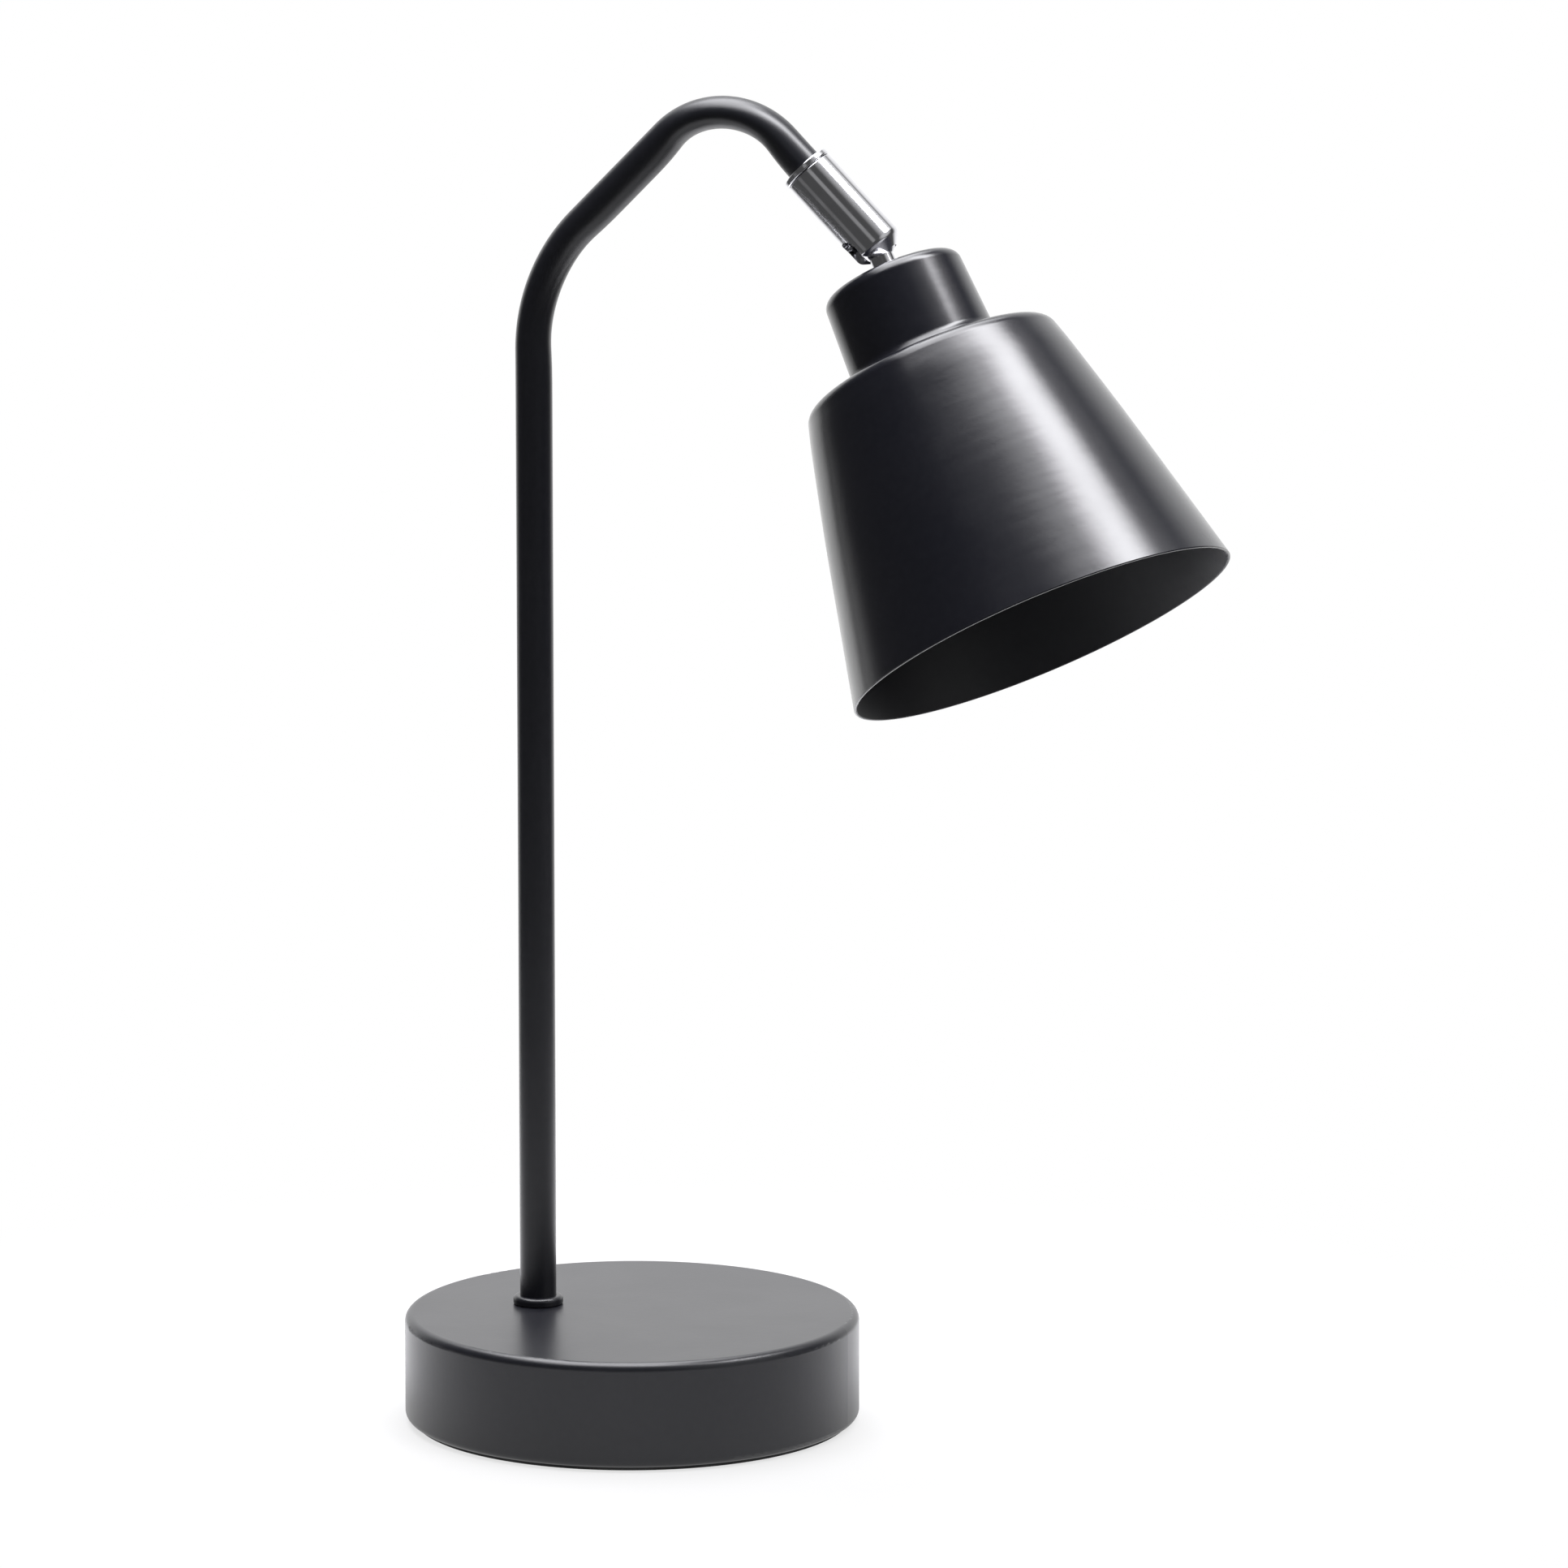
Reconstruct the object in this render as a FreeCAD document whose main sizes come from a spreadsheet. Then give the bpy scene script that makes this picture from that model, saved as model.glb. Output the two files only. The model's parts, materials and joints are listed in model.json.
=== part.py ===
"""Angled arm desk lamp: weighted round base, bent tube arm, slotted ball swivel and a stepped metal shade.

The origin is the centre of the foot pad's underside. +Z is up and +X is the way the arm reaches.
Pieces of the swivel are drawn along the sleeve's axis, and pieces of the head along the shade's axis.
"""

import FreeCAD
import Part
import math
import os
import re
import Sketcher

# Driving dimensions in millimetres and degrees.
DIMENSIONS = {
    # Base
    "base_diameter": 150,
    "base_height": 36,
    "base_wall": 2.5,
    "base_edge_round": 2.8,
    "base_foot_round": 2.2,
    "base_inner_round": 1,
    "pad_height": 1.2,
    "pad_inset": 3,
    "weight_height": 14,
    "weight_round": 2,
    "fit_gap": 0.05,
    # Cord inlet in the rear wall
    "grommet_height": 25,
    "grommet_bore": 6.6,
    "grommet_neck": 9,
    "grommet_flange": 12,
    "grommet_lip": 1.5,
    "grommet_relief": 0.4,
    # Bent tube
    "pole_offset": 33,
    "tube_diameter": 12,
    "tube_wall": 1.2,
    "pole_length": 318,
    "lower_bend_radius": 59.3,
    "rise_angle": 45,
    "slope_length": 41.3,
    "upper_bend_radius": 27.2,
    "drop_angle": 45,
    "tail_length": 11.25,
    # Foot of the tube
    "collar_diameter": 16.5,
    "collar_height": 3,
    "collar_round": 1.4,
    "collar_foot_round": 0.7,
    "nipple_rise": 14,
    "nipple_drop": 10,
    "nipple_bore": 6.6,
    "washer_diameter": 24,
    "washer_height": 1.5,
    "nut_flats": 14,
    "nut_height": 5,
    "bushing_flange": 9,
    "bushing_lip": 1.2,
    "bushing_depth": 6,
    "bushing_wall": 0.7,
    "lead_diameter": 4.8,
    "lead_drop": 14,
    # Swivel
    "ring_diameter": 17.5,
    "ring_height": 2,
    "ring_round": 0.5,
    "spigot_length": 10,
    "spindle_diameter": 9,
    "spindle_length": 9.4,
    "spindle_groove_depth": 0.5,
    "clip_diameter": 11.4,
    "clip_height": 1,
    "clip_play": 0.1,
    "sleeve_diameter": 17,
    "sleeve_gap": 0.1,
    "sleeve_shoulder": 9,
    "sleeve_length": 35.15,
    "nose_length": 4,
    "nose_tip": 8.4,
    "nose_round": 1,
    "mouth_diameter": 9.4,
    "slot_width": 8.6,
    "slot_round": 3.6,
    "slot_reach": 7,
    "ball_distance": 34.15,
    "ball_diameter": 12,
    "ball_clearance": 0.08,
    "seat_bore": 6,
    "spring_height": 2,
    "spring_thickness": 0.6,
    "spring_diameter": 11.4,
    "slot_turn": 35.3,
    "tilt_angle": 19.9,
    # Ball stud
    "stem_diameter": 8,
    "stem_bore": 5.4,
    "stem_flare": 2,
    "stud_flange": 13.6,
    "stud_flange_height": 1.2,
    "thread_diameter": 9.5,
    "thread_length": 14,
    # Shade
    "shade_distance": 11.2,
    "shade_wall": 1,
    "neck_top_diameter": 46.3,
    "neck_bottom_diameter": 49.2,
    "neck_height": 29.8,
    "neck_round": 4,
    "neck_fillet": 3.9,
    "shoulder_diameter": 85.7,
    "shoulder_drop": 2.9,
    "shoulder_round": 8.8,
    "mouth_width": 130.2,
    "cone_height": 94.5,
    "rim_round": 0.35,
    "shade_washer_diameter": 20,
    "shade_washer_height": 1,
    "shade_nut_height": 4.5,
    # Lamp holder and lamp
    "holder_gap": 0.3,
    "holder_cap_diameter": 34,
    "holder_cap_height": 12,
    "holder_cap_slope": 6,
    "holder_wall": 2,
    "holder_boss": 14,
    "holder_boss_height": 7,
    "holder_spigot": 3.7,
    "holder_flange_height": 3,
    "holder_body_diameter": 28,
    "holder_body_height": 28,
    "insulator_height": 7,
    "shell_diameter": 15.2,
    "shell_wall": 0.5,
    "shell_height": 20,
    "shell_flange": 22,
    "contact_diameter": 6,
    "contact_height": 2.4,
    "screw_head_diameter": 3.6,
    "screw_head_height": 2.4,
    "screw_spacing": 19,
    "lamp_cap_diameter": 13.8,
    "lamp_cap_height": 20,
    "lamp_insulator_height": 3,
    "lamp_contact_diameter": 7,
    "lamp_contact_height": 1.6,
    "lamp_thread_depth": 0.8,
    "lamp_thread_pitch": 2.8,
    "lamp_thread_rise": 0.56,
    "lamp_thread_crest": 1.68,
    "bulb_diameter": 45,
    "bulb_length": 52,
    "bulb_wall": 0.9,
    "bulb_dome": 31.5,
    "bulb_roundness": 21.8,
}

# Where the tube ends, from the pole's axis and the base's top.
ARM_REACH = (
    "lower_bend_radius * (1 - sin(rise_angle * 1 deg)) + slope_length * cos(rise_angle * 1 deg)"
    " + upper_bend_radius * (sin(rise_angle * 1 deg) + sin(drop_angle * 1 deg))"
    " + tail_length * cos(drop_angle * 1 deg)"
)
ARM_RISE = (
    "pole_length + lower_bend_radius * cos(rise_angle * 1 deg) + slope_length * sin(rise_angle * 1 deg)"
    " + upper_bend_radius * (cos(drop_angle * 1 deg) - cos(rise_angle * 1 deg))"
    " - tail_length * sin(drop_angle * 1 deg)"
)

# Frames of the fixed pole, the swivel (+Z down its sleeve, +X through the slot) and the head (+Z to the mouth).
STAND = "placement(vector(0; 0; 0); rotationz(0))"
POLE = "placement(vector(-pole_offset; 0; base_height); rotationz(0))"
SWIVEL = (
    f"placement(vector({ARM_REACH} - pole_offset; 0; base_height + {ARM_RISE}); rotationy(90 + drop_angle))"
    " * placement(vector(0; 0; 0); rotationz(-slot_turn))"
)
HEAD = f"{SWIVEL} * placement(vector(0; 0; ball_distance); rotationy(tilt_angle))"

# Levels along the head's axis, counted from the ball's centre.
SHADE_INSIDE = "shade_distance + shade_wall"
NUT_SEAT = f"{SHADE_INSIDE} + shade_washer_height"
HOLDER_TOP = f"{NUT_SEAT} + shade_nut_height + holder_gap"
HOLDER_SPLIT = f"{HOLDER_TOP} + holder_cap_height"
INSULATOR_TOP = f"{HOLDER_SPLIT} - holder_spigot + holder_gap + screw_head_height"
INSULATOR_SEAT = f"{INSULATOR_TOP} + insulator_height"
LAMP_END = f"{INSULATOR_SEAT} + contact_height"
LAMP_CAP_START = f"{LAMP_END} + lamp_contact_height"
BULB_START = f"{LAMP_CAP_START} + lamp_cap_height"

TUBE_BORE = "(tube_diameter - 2 * tube_wall)"
CAVITY = "(ball_diameter + 2 * ball_clearance)"
ROOT = "(lamp_cap_diameter / 2 - lamp_thread_depth)"
NOSE_END = "sleeve_length + nose_length"

# Turns of the lamp cap's thread.
LAMP_THREADS = 5

doc = FreeCAD.newDocument("desk_lamp")
sheet = doc.addObject("Spreadsheet::Sheet", "Sizes")
nodes = []


def fill_sheet():
    """Write every driving dimension into the spreadsheet, with its name as the cell's alias."""
    for row, (name, value) in enumerate(DIMENSIONS.items(), start=1):
        sheet.set(f"A{row}", name)
        sheet.set(f"B{row}", str(value))
        sheet.setAlias(f"B{row}", name)
    doc.recompute()


def sized(text):
    """Turn dimension names in an expression into references to the spreadsheet."""
    return re.sub(r"[a-z_]+", lambda word: f"Sizes.{word[0]}" if word[0] in DIMENSIONS else word[0], text)


def number(text):
    """Value of an expression with the spreadsheet's present numbers."""
    return float(sheet.evalExpression(sized(text)))


def finish(part, label, frame, shift=("0", "0", "0")):
    """Name a sub-part, and place it in its frame, moved by a shift along the frame's axes."""
    part.Label = label
    offset = "; ".join(shift)
    part.setExpression("Placement", sized(f"{frame} * placement(vector({offset}); rotationz(0))"))
    nodes.append(part)
    return part


def new_body(name):
    return doc.addObject("PartDesign::Body", name)


def new_sketch(body, name, plane):
    """Empty sketch on one of the body's own origin planes."""
    sketch = body.newObject("Sketcher::SketchObject", name)
    support = [item for item in body.Origin.OriginFeatures if item.Role == plane][0]
    sketch.AttachmentSupport = (support, [""])
    sketch.MapMode = "FlatFace"
    return sketch


def bind(sketch, constraint, expression):
    """Add a dimension to a sketch and tie it to an expression."""
    index = sketch.addConstraint(constraint)
    sketch.setExpression(f"Constraints[{index}]", sized(expression))


def pin_point(sketch, geometry, end, across, along):
    """Fix a point of a sketch at a distance across and along from the sketch's origin."""
    for kind, axis, text in (("DistanceX", -2, across), ("DistanceY", -1, along)):
        value = number(text)
        if abs(value) < 1e-9:
            sketch.addConstraint(Sketcher.Constraint("PointOnObject", geometry, end, axis))
        else:
            bind(sketch, Sketcher.Constraint(kind, -1, 1, geometry, end, value), text)


def add_outline(sketch, corners):
    """Draw a closed outline through corners (across, along) or rounded corners (across, along, radius)."""
    count = len(corners)
    places = [FreeCAD.Vector(number(corner[0]), number(corner[1]), 0) for corner in corners]
    radii = [number(corner[2]) if len(corner) > 2 else 0 for corner in corners]
    into = [(places[i] - places[i - 1]).normalize() for i in range(count)]
    turns = []
    for i in range(count):
        away = into[(i + 1) % count]
        turns.append(math.atan2(into[i].cross(away).z, into[i].dot(away)))
    cuts = [radii[i] * math.tan(abs(turns[i]) / 2) for i in range(count)]
    lines = []
    for i in range(count):
        following = (i + 1) % count
        along = into[following]
        start = places[i] + along * cuts[i]
        stop = places[following] - along * cuts[following]
        lines.append(sketch.addGeometry(Part.LineSegment(start, stop), False))
    for i in range(count):
        before, after = lines[i - 1], lines[i]
        if not radii[i]:
            sketch.addConstraint(Sketcher.Constraint("Coincident", before, 2, after, 1))
            pin_point(sketch, after, 1, corners[i][0], corners[i][1])
            continue
        side = 1 if turns[i] > 0 else -1
        normal = FreeCAD.Vector(-into[i].y, into[i].x, 0) * side
        centre = places[i] - into[i] * cuts[i] + normal * radii[i]
        begin = math.atan2(-normal.y, -normal.x)
        finish_angle = begin + turns[i]
        low, high = min(begin, finish_angle), max(begin, finish_angle)
        circle = Part.Circle(centre, FreeCAD.Vector(0, 0, 1), radii[i])
        arc = sketch.addGeometry(Part.ArcOfCircle(circle, low, high), False)
        entry, leave = (1, 2) if side > 0 else (2, 1)
        sketch.addConstraint(Sketcher.Constraint("Tangent", before, 2, arc, entry))
        sketch.addConstraint(Sketcher.Constraint("Tangent", arc, leave, after, 1))
        bind(sketch, Sketcher.Constraint("Radius", arc, radii[i]), corners[i][2])
        point = sketch.addGeometry(Part.Point(places[i]), True)
        sketch.addConstraint(Sketcher.Constraint("PointOnObject", point, 1, before))
        sketch.addConstraint(Sketcher.Constraint("PointOnObject", point, 1, after))
        pin_point(sketch, point, 1, corners[i][0], corners[i][1])


def add_circle(sketch, across, along, diameter):
    """Draw a circle with its centre and diameter tied to expressions."""
    centre = FreeCAD.Vector(number(across), number(along), 0)
    circle = Part.Circle(centre, FreeCAD.Vector(0, 0, 1), number(diameter) / 2)
    index = sketch.addGeometry(circle, False)
    pin_point(sketch, index, 3, across, along)
    bind(sketch, Sketcher.Constraint("Diameter", index, number(diameter)), diameter)


def turned(name, corners):
    """Body turned about its Z axis from an outline of (radius, height) corners."""
    body = new_body(name)
    sketch = new_sketch(body, f"{name}_profile", "XZ_Plane")
    add_outline(sketch, corners)
    turning = body.newObject("PartDesign::Revolution", f"{name}_turning")
    turning.Profile = sketch
    turning.ReferenceAxis = (sketch, ["V_Axis"])
    turning.Angle = 360
    sketch.Visibility = False
    return body


def drill(body, name, plane, across, along, diameter, forward):
    """Round hole through the body on one side of an origin plane."""
    sketch = new_sketch(body, f"{name}_circle", plane)
    add_circle(sketch, across, along, diameter)
    pocket = body.newObject("PartDesign::Pocket", name)
    pocket.Profile = sketch
    pocket.Type = "ThroughAll"
    pocket.Reversed = forward


def ring(name, inner, outer, low, high):
    """Plain turned ring between two diameters and two heights."""
    return turned(
        name,
        [
            (f"({inner}) / 2", low),
            (f"({outer}) / 2", low),
            (f"({outer}) / 2", high),
            (f"({inner}) / 2", high),
        ],
    )


def rod(name, diameter, low, high):
    """Plain turned rod between two heights."""
    radius = f"({diameter}) / 2"
    return turned(name, [("0", low), (radius, low), (radius, high), ("0", high)])


def hexagon_nut(name, flats, height, bore):
    """Hexagon nut with its seat at zero height."""
    prism = doc.addObject("Part::Prism", f"{name}_blank")
    prism.Polygon = 6
    prism.setExpression("Circumradius", sized(f"{flats} / sqrt(3)"))
    prism.setExpression("Height", sized(height))
    hole = doc.addObject("Part::Cylinder", f"{name}_bore")
    hole.setExpression("Radius", sized(f"({bore}) / 2"))
    hole.setExpression("Height", sized(height))
    nut = doc.addObject("Part::Cut", name)
    nut.Base = prism
    nut.Tool = hole
    return nut


def ball_cut(name, body, height):
    """Cut the ball's socket out of a body, with the ball's centre at a height on its axis."""
    ball = doc.addObject("Part::Sphere", f"{name}_socket")
    ball.setExpression("Radius", sized(f"{CAVITY} / 2"))
    ball.setExpression("Placement.Base.z", sized(height))
    cut = doc.addObject("Part::Cut", name)
    cut.Base = body
    cut.Tool = ball
    return cut


def bent_path(body, name, foot, tail):
    """Centre line of the arm: up the pole, over the slope and down the tail, in the XZ plane."""
    sketch = new_sketch(body, name, "XZ_Plane")
    rise = math.radians(number("rise_angle"))
    drop = math.radians(number("drop_angle"))
    low_radius = number("lower_bend_radius")
    top_radius = number("upper_bend_radius")
    up = FreeCAD.Vector(math.cos(rise), math.sin(rise), 0)
    down = FreeCAD.Vector(math.cos(drop), -math.sin(drop), 0)
    axis = FreeCAD.Vector(0, 0, 1)
    points = [FreeCAD.Vector(0, 0, 0), FreeCAD.Vector(0, number(foot), 0)]
    low_centre = points[1] + FreeCAD.Vector(low_radius, 0, 0)
    points.append(low_centre + FreeCAD.Vector(-up.y, up.x, 0) * low_radius)
    points.append(points[2] + up * number("slope_length"))
    top_centre = points[3] + FreeCAD.Vector(up.y, -up.x, 0) * top_radius
    points.append(top_centre + FreeCAD.Vector(-down.y, down.x, 0) * top_radius)
    points.append(points[4] + down * number(tail))
    pole = sketch.addGeometry(Part.LineSegment(points[0], points[1]), False)
    low_circle = Part.Circle(low_centre, axis, low_radius)
    low_bend = sketch.addGeometry(Part.ArcOfCircle(low_circle, rise + math.pi / 2, math.pi), False)
    slope = sketch.addGeometry(Part.LineSegment(points[2], points[3]), False)
    top_circle = Part.Circle(top_centre, axis, top_radius)
    top_arc = Part.ArcOfCircle(top_circle, math.pi / 2 - drop, math.pi / 2 + rise)
    top_bend = sketch.addGeometry(top_arc, False)
    end = sketch.addGeometry(Part.LineSegment(points[4], points[5]), False)
    sketch.addConstraint(Sketcher.Constraint("Coincident", pole, 1, -1, 1))
    sketch.addConstraint(Sketcher.Constraint("Vertical", pole))
    sketch.addConstraint(Sketcher.Constraint("Tangent", pole, 2, low_bend, 2))
    sketch.addConstraint(Sketcher.Constraint("Tangent", low_bend, 1, slope, 1))
    sketch.addConstraint(Sketcher.Constraint("Tangent", slope, 2, top_bend, 2))
    sketch.addConstraint(Sketcher.Constraint("Tangent", top_bend, 1, end, 1))
    bind(sketch, Sketcher.Constraint("Distance", pole, number(foot)), foot)
    bind(sketch, Sketcher.Constraint("Radius", low_bend, low_radius), "lower_bend_radius")
    bind(sketch, Sketcher.Constraint("Angle", slope, rise), "rise_angle * 1 deg")
    bind(sketch, Sketcher.Constraint("Distance", slope, number("slope_length")), "slope_length")
    bind(sketch, Sketcher.Constraint("Radius", top_bend, top_radius), "upper_bend_radius")
    bind(sketch, Sketcher.Constraint("Angle", end, -drop), "-drop_angle * 1 deg")
    bind(sketch, Sketcher.Constraint("Distance", end, number(tail)), tail)
    return sketch


def swept(name, foot, tail, diameters):
    """Round section, solid or tubular, swept along the arm's centre line."""
    body = new_body(name)
    path = bent_path(body, f"{name}_path", foot, tail)
    section = new_sketch(body, f"{name}_section", "XY_Plane")
    for diameter in diameters:
        add_circle(section, "0", "0", diameter)
    doc.recompute()
    pipe = body.newObject("PartDesign::AdditivePipe", f"{name}_sweep")
    pipe.Profile = section
    pipe.Spine = (path, [f"Edge{index + 1}" for index in range(len(path.Shape.Edges))])
    path.Visibility = False
    section.Visibility = False
    return body


def make_base():
    """Foot pad, iron weight and the pressed cover with its two holes."""
    outside = "base_diameter / 2"
    inside = "base_diameter / 2 - base_wall"
    shell = turned(
        "BaseShell",
        [
            (inside, "pad_height"),
            (outside, "pad_height", "base_foot_round"),
            (outside, "base_height", "base_edge_round"),
            ("0", "base_height"),
            ("0", "base_height - base_wall"),
            (inside, "base_height - base_wall", "base_inner_round"),
        ],
    )
    drill(shell, "NippleHole", "XY_Plane", "-pole_offset", "0", TUBE_BORE, True)
    grommet_hole = "grommet_neck + 2 * fit_gap"
    drill(shell, "GrommetHole", "YZ_Plane", "0", "grommet_height", grommet_hole, False)
    finish(shell, "base_shell", STAND)
    weight_radius = f"{inside} - fit_gap"
    weight_top = "pad_height + weight_height"
    weight = turned(
        "BaseWeight",
        [
            ("0", "pad_height"),
            (weight_radius, "pad_height"),
            (weight_radius, weight_top, "weight_round"),
            ("0", weight_top),
        ],
    )
    finish(weight, "base_weight", STAND)
    pad_radius = "base_diameter / 2 - pad_inset"
    pad = turned(
        "BasePad",
        [("0", "0"), (pad_radius, "0"), (pad_radius, "pad_height"), ("0", "pad_height")],
    )
    finish(pad, "base_pad", STAND)


def make_grommet():
    """Rubber grommet that lines the cord hole, gripping the wall between two lips."""
    neck_end = "grommet_lip + base_wall + grommet_relief"
    grommet = turned(
        "CordGrommet",
        [
            ("grommet_bore / 2", "0"),
            ("grommet_flange / 2", "0"),
            ("grommet_flange / 2", "grommet_lip"),
            ("grommet_neck / 2", "grommet_lip"),
            ("grommet_neck / 2", neck_end),
            ("grommet_flange / 2", neck_end),
            ("grommet_flange / 2", f"{neck_end} + grommet_lip", "grommet_lip / 2"),
            ("grommet_bore / 2", f"{neck_end} + grommet_lip"),
        ],
    )
    inner_end = f"{neck_end} - base_diameter / 2"
    frame = f"placement(vector({inner_end}; 0; grommet_height); rotationy(-90))"
    finish(grommet, "cord_grommet", frame)


def make_pole():
    """Bent tube, its collar, and the threaded nipple that clamps it to the base."""
    tube = swept("PoleTube", "pole_length", "tail_length", ["tube_diameter", TUBE_BORE])
    finish(tube, "pole_tube", POLE)
    collar_bore = "tube_diameter / 2 + fit_gap"
    collar = turned(
        "PoleCollar",
        [
            (collar_bore, "0"),
            ("collar_diameter / 2", "0", "collar_foot_round"),
            ("collar_diameter / 2", "collar_height", "collar_round"),
            (collar_bore, "collar_height"),
        ],
    )
    finish(collar, "pole_collar", POLE)
    nipple_outer = f"{TUBE_BORE} - 2 * fit_gap"
    nipple = ring("PoleNipple", "nipple_bore", nipple_outer, "0", "nipple_drop + nipple_rise")
    finish(nipple, "pole_nipple", POLE, ("0", "0", "-nipple_drop"))
    washer = ring("BaseWasher", TUBE_BORE, "washer_diameter", "0", "washer_height")
    finish(washer, "base_washer", POLE, ("0", "0", "-base_wall - washer_height"))
    nut = hexagon_nut("BaseNut", "nut_flats", "nut_height", TUBE_BORE)
    finish(nut, "base_nut", POLE, ("0", "0", "-base_wall - washer_height - nut_height"))
    lead_hole = "nipple_bore / 2 - fit_gap - bushing_wall"
    bushing = turned(
        "NippleBushing",
        [
            (lead_hole, "0"),
            ("bushing_flange / 2", "0", "bushing_lip / 3"),
            ("bushing_flange / 2", "bushing_lip"),
            ("nipple_bore / 2 - fit_gap", "bushing_lip"),
            ("nipple_bore / 2 - fit_gap", "bushing_lip + bushing_depth"),
            (lead_hole, "bushing_lip + bushing_depth"),
        ],
    )
    finish(bushing, "nipple_bushing", POLE, ("0", "0", "-nipple_drop - bushing_lip"))
    lead = swept("PoleLead", "pole_length + lead_drop", "tail_length + ring_height", ["lead_diameter"])
    finish(lead, "pole_lead", POLE, ("0", "0", "-lead_drop"))


def make_swivel():
    """Cap on the tube's end, and the slotted sleeve that turns on it and grips the ball."""
    spindle_end = "spigot_length + ring_height + spindle_length"
    ring_end = "spigot_length + ring_height"
    groove_start = "spigot_length + sleeve_shoulder + clip_play"
    groove_end = f"{groove_start} + clip_height"
    groove_radius = "spindle_diameter / 2 - spindle_groove_depth"
    cap = turned(
        "SwivelCap",
        [
            ("nipple_bore / 2", "0"),
            (f"{TUBE_BORE} / 2 - fit_gap", "0"),
            (f"{TUBE_BORE} / 2 - fit_gap", "spigot_length"),
            ("ring_diameter / 2", "spigot_length", "ring_round"),
            ("ring_diameter / 2", ring_end, "ring_round"),
            ("spindle_diameter / 2", ring_end),
            ("spindle_diameter / 2", groove_start),
            (groove_radius, groove_start),
            (groove_radius, groove_end),
            ("spindle_diameter / 2", groove_end),
            ("spindle_diameter / 2", spindle_end),
            ("nipple_bore / 2", spindle_end),
        ],
    )
    finish(cap, "swivel_cap", SWIVEL, ("0", "0", "-spigot_length"))
    clip_bore = "spindle_diameter - 2 * spindle_groove_depth + 2 * fit_gap"
    clip = ring("SwivelClip", clip_bore, "clip_diameter", "0", "clip_height")
    finish(clip, "swivel_clip", SWIVEL, ("0", "0", "sleeve_shoulder + clip_play"))
    bearing = "spindle_diameter / 2 + fit_gap"
    slot_start, slot_end = "ball_distance - slot_reach", f"{NOSE_END} + nose_length"
    start = "ring_height + sleeve_gap"
    blank = turned(
        "SleeveBlank",
        [
            (bearing, start),
            ("sleeve_diameter / 2", start, "ring_round"),
            ("sleeve_diameter / 2", "sleeve_length", "nose_round"),
            ("nose_tip / 2", NOSE_END),
            ("0", NOSE_END),
            ("0", "ball_distance"),
            (f"{CAVITY} / 2", "ball_distance"),
            (f"{CAVITY} / 2", "sleeve_shoulder"),
            (bearing, "sleeve_shoulder"),
        ],
    )
    slot = new_sketch(blank, "SleeveSlot_outline", "YZ_Plane")
    add_outline(
        slot,
        [
            ("slot_width / 2", slot_end),
            ("slot_width / 2", slot_start, "slot_round"),
            ("-slot_width / 2", slot_start, "slot_round"),
            ("-slot_width / 2", slot_end),
        ],
    )
    slotting = blank.newObject("PartDesign::Pocket", "SleeveSlot")
    slotting.Profile = slot
    slotting.setExpression("Length", sized("sleeve_diameter"))
    slotting.Reversed = True
    mouth = doc.addObject("Part::Cylinder", "SleeveMouth")
    mouth.setExpression("Radius", sized("mouth_diameter / 2"))
    mouth.setExpression("Height", sized(f"{NOSE_END} - ball_distance"))
    mouth.setExpression("Placement.Base.z", sized("ball_distance"))
    bored = doc.addObject("Part::Cut", "SleeveBored")
    bored.Base = blank
    bored.Tool = mouth
    sleeve = ball_cut("SwivelSleeve", bored, "ball_distance")
    finish(sleeve, "swivel_sleeve", SWIVEL)
    spring_start = "ring_height + spindle_length + sleeve_gap"
    spring = turned(
        "SeatSpring",
        [
            ("nipple_bore / 2", "0"),
            ("spring_diameter / 2", "spring_height - spring_thickness"),
            ("spring_diameter / 2", "spring_height"),
            ("nipple_bore / 2", "spring_thickness"),
        ],
    )
    finish(spring, "seat_spring", SWIVEL, ("0", "0", spring_start))
    seat_start = f"{spring_start} + spring_height"
    plug = ring("SeatBlank", "seat_bore", f"{CAVITY} - 2 * fit_gap", seat_start, "ball_distance - slot_width / 2")
    seat = ball_cut("BallSeat", plug, "ball_distance")
    finish(seat, "ball_seat", SWIVEL)


def make_stud():
    """Hollow ball stud that carries the shade and passes the lead."""
    flange_top = "shade_distance - stud_flange_height"
    thread_end = "shade_distance + thread_length"
    stem = turned(
        "StudStem",
        [
            ("stem_bore / 2", "0"),
            ("stem_diameter / 2", "0"),
            ("stem_diameter / 2", flange_top, "stem_flare"),
            ("stud_flange / 2", flange_top),
            ("stud_flange / 2", "shade_distance"),
            ("thread_diameter / 2", "shade_distance"),
            ("thread_diameter / 2", thread_end),
            ("stem_bore / 2", thread_end),
        ],
    )
    ball = doc.addObject("Part::Sphere", "StudBall")
    ball.setExpression("Radius", sized("ball_diameter / 2"))
    bore = doc.addObject("Part::Cylinder", "StudBore")
    bore.setExpression("Radius", sized("stem_bore / 2"))
    bore.setExpression("Height", sized("2 * ball_diameter"))
    bore.setExpression("Placement.Base.z", sized("-ball_diameter"))
    hollow_ball = doc.addObject("Part::Cut", "HollowBall")
    hollow_ball.Base = ball
    hollow_ball.Tool = bore
    stud = doc.addObject("Part::Fuse", "BallStud")
    stud.Base = hollow_ball
    stud.Tool = stem
    finish(stud, "ball_stud", HEAD)
    lead = rod("HeadLead", "lead_diameter", "0", f"{thread_end} + holder_gap")
    finish(lead, "head_lead", HEAD)


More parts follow.
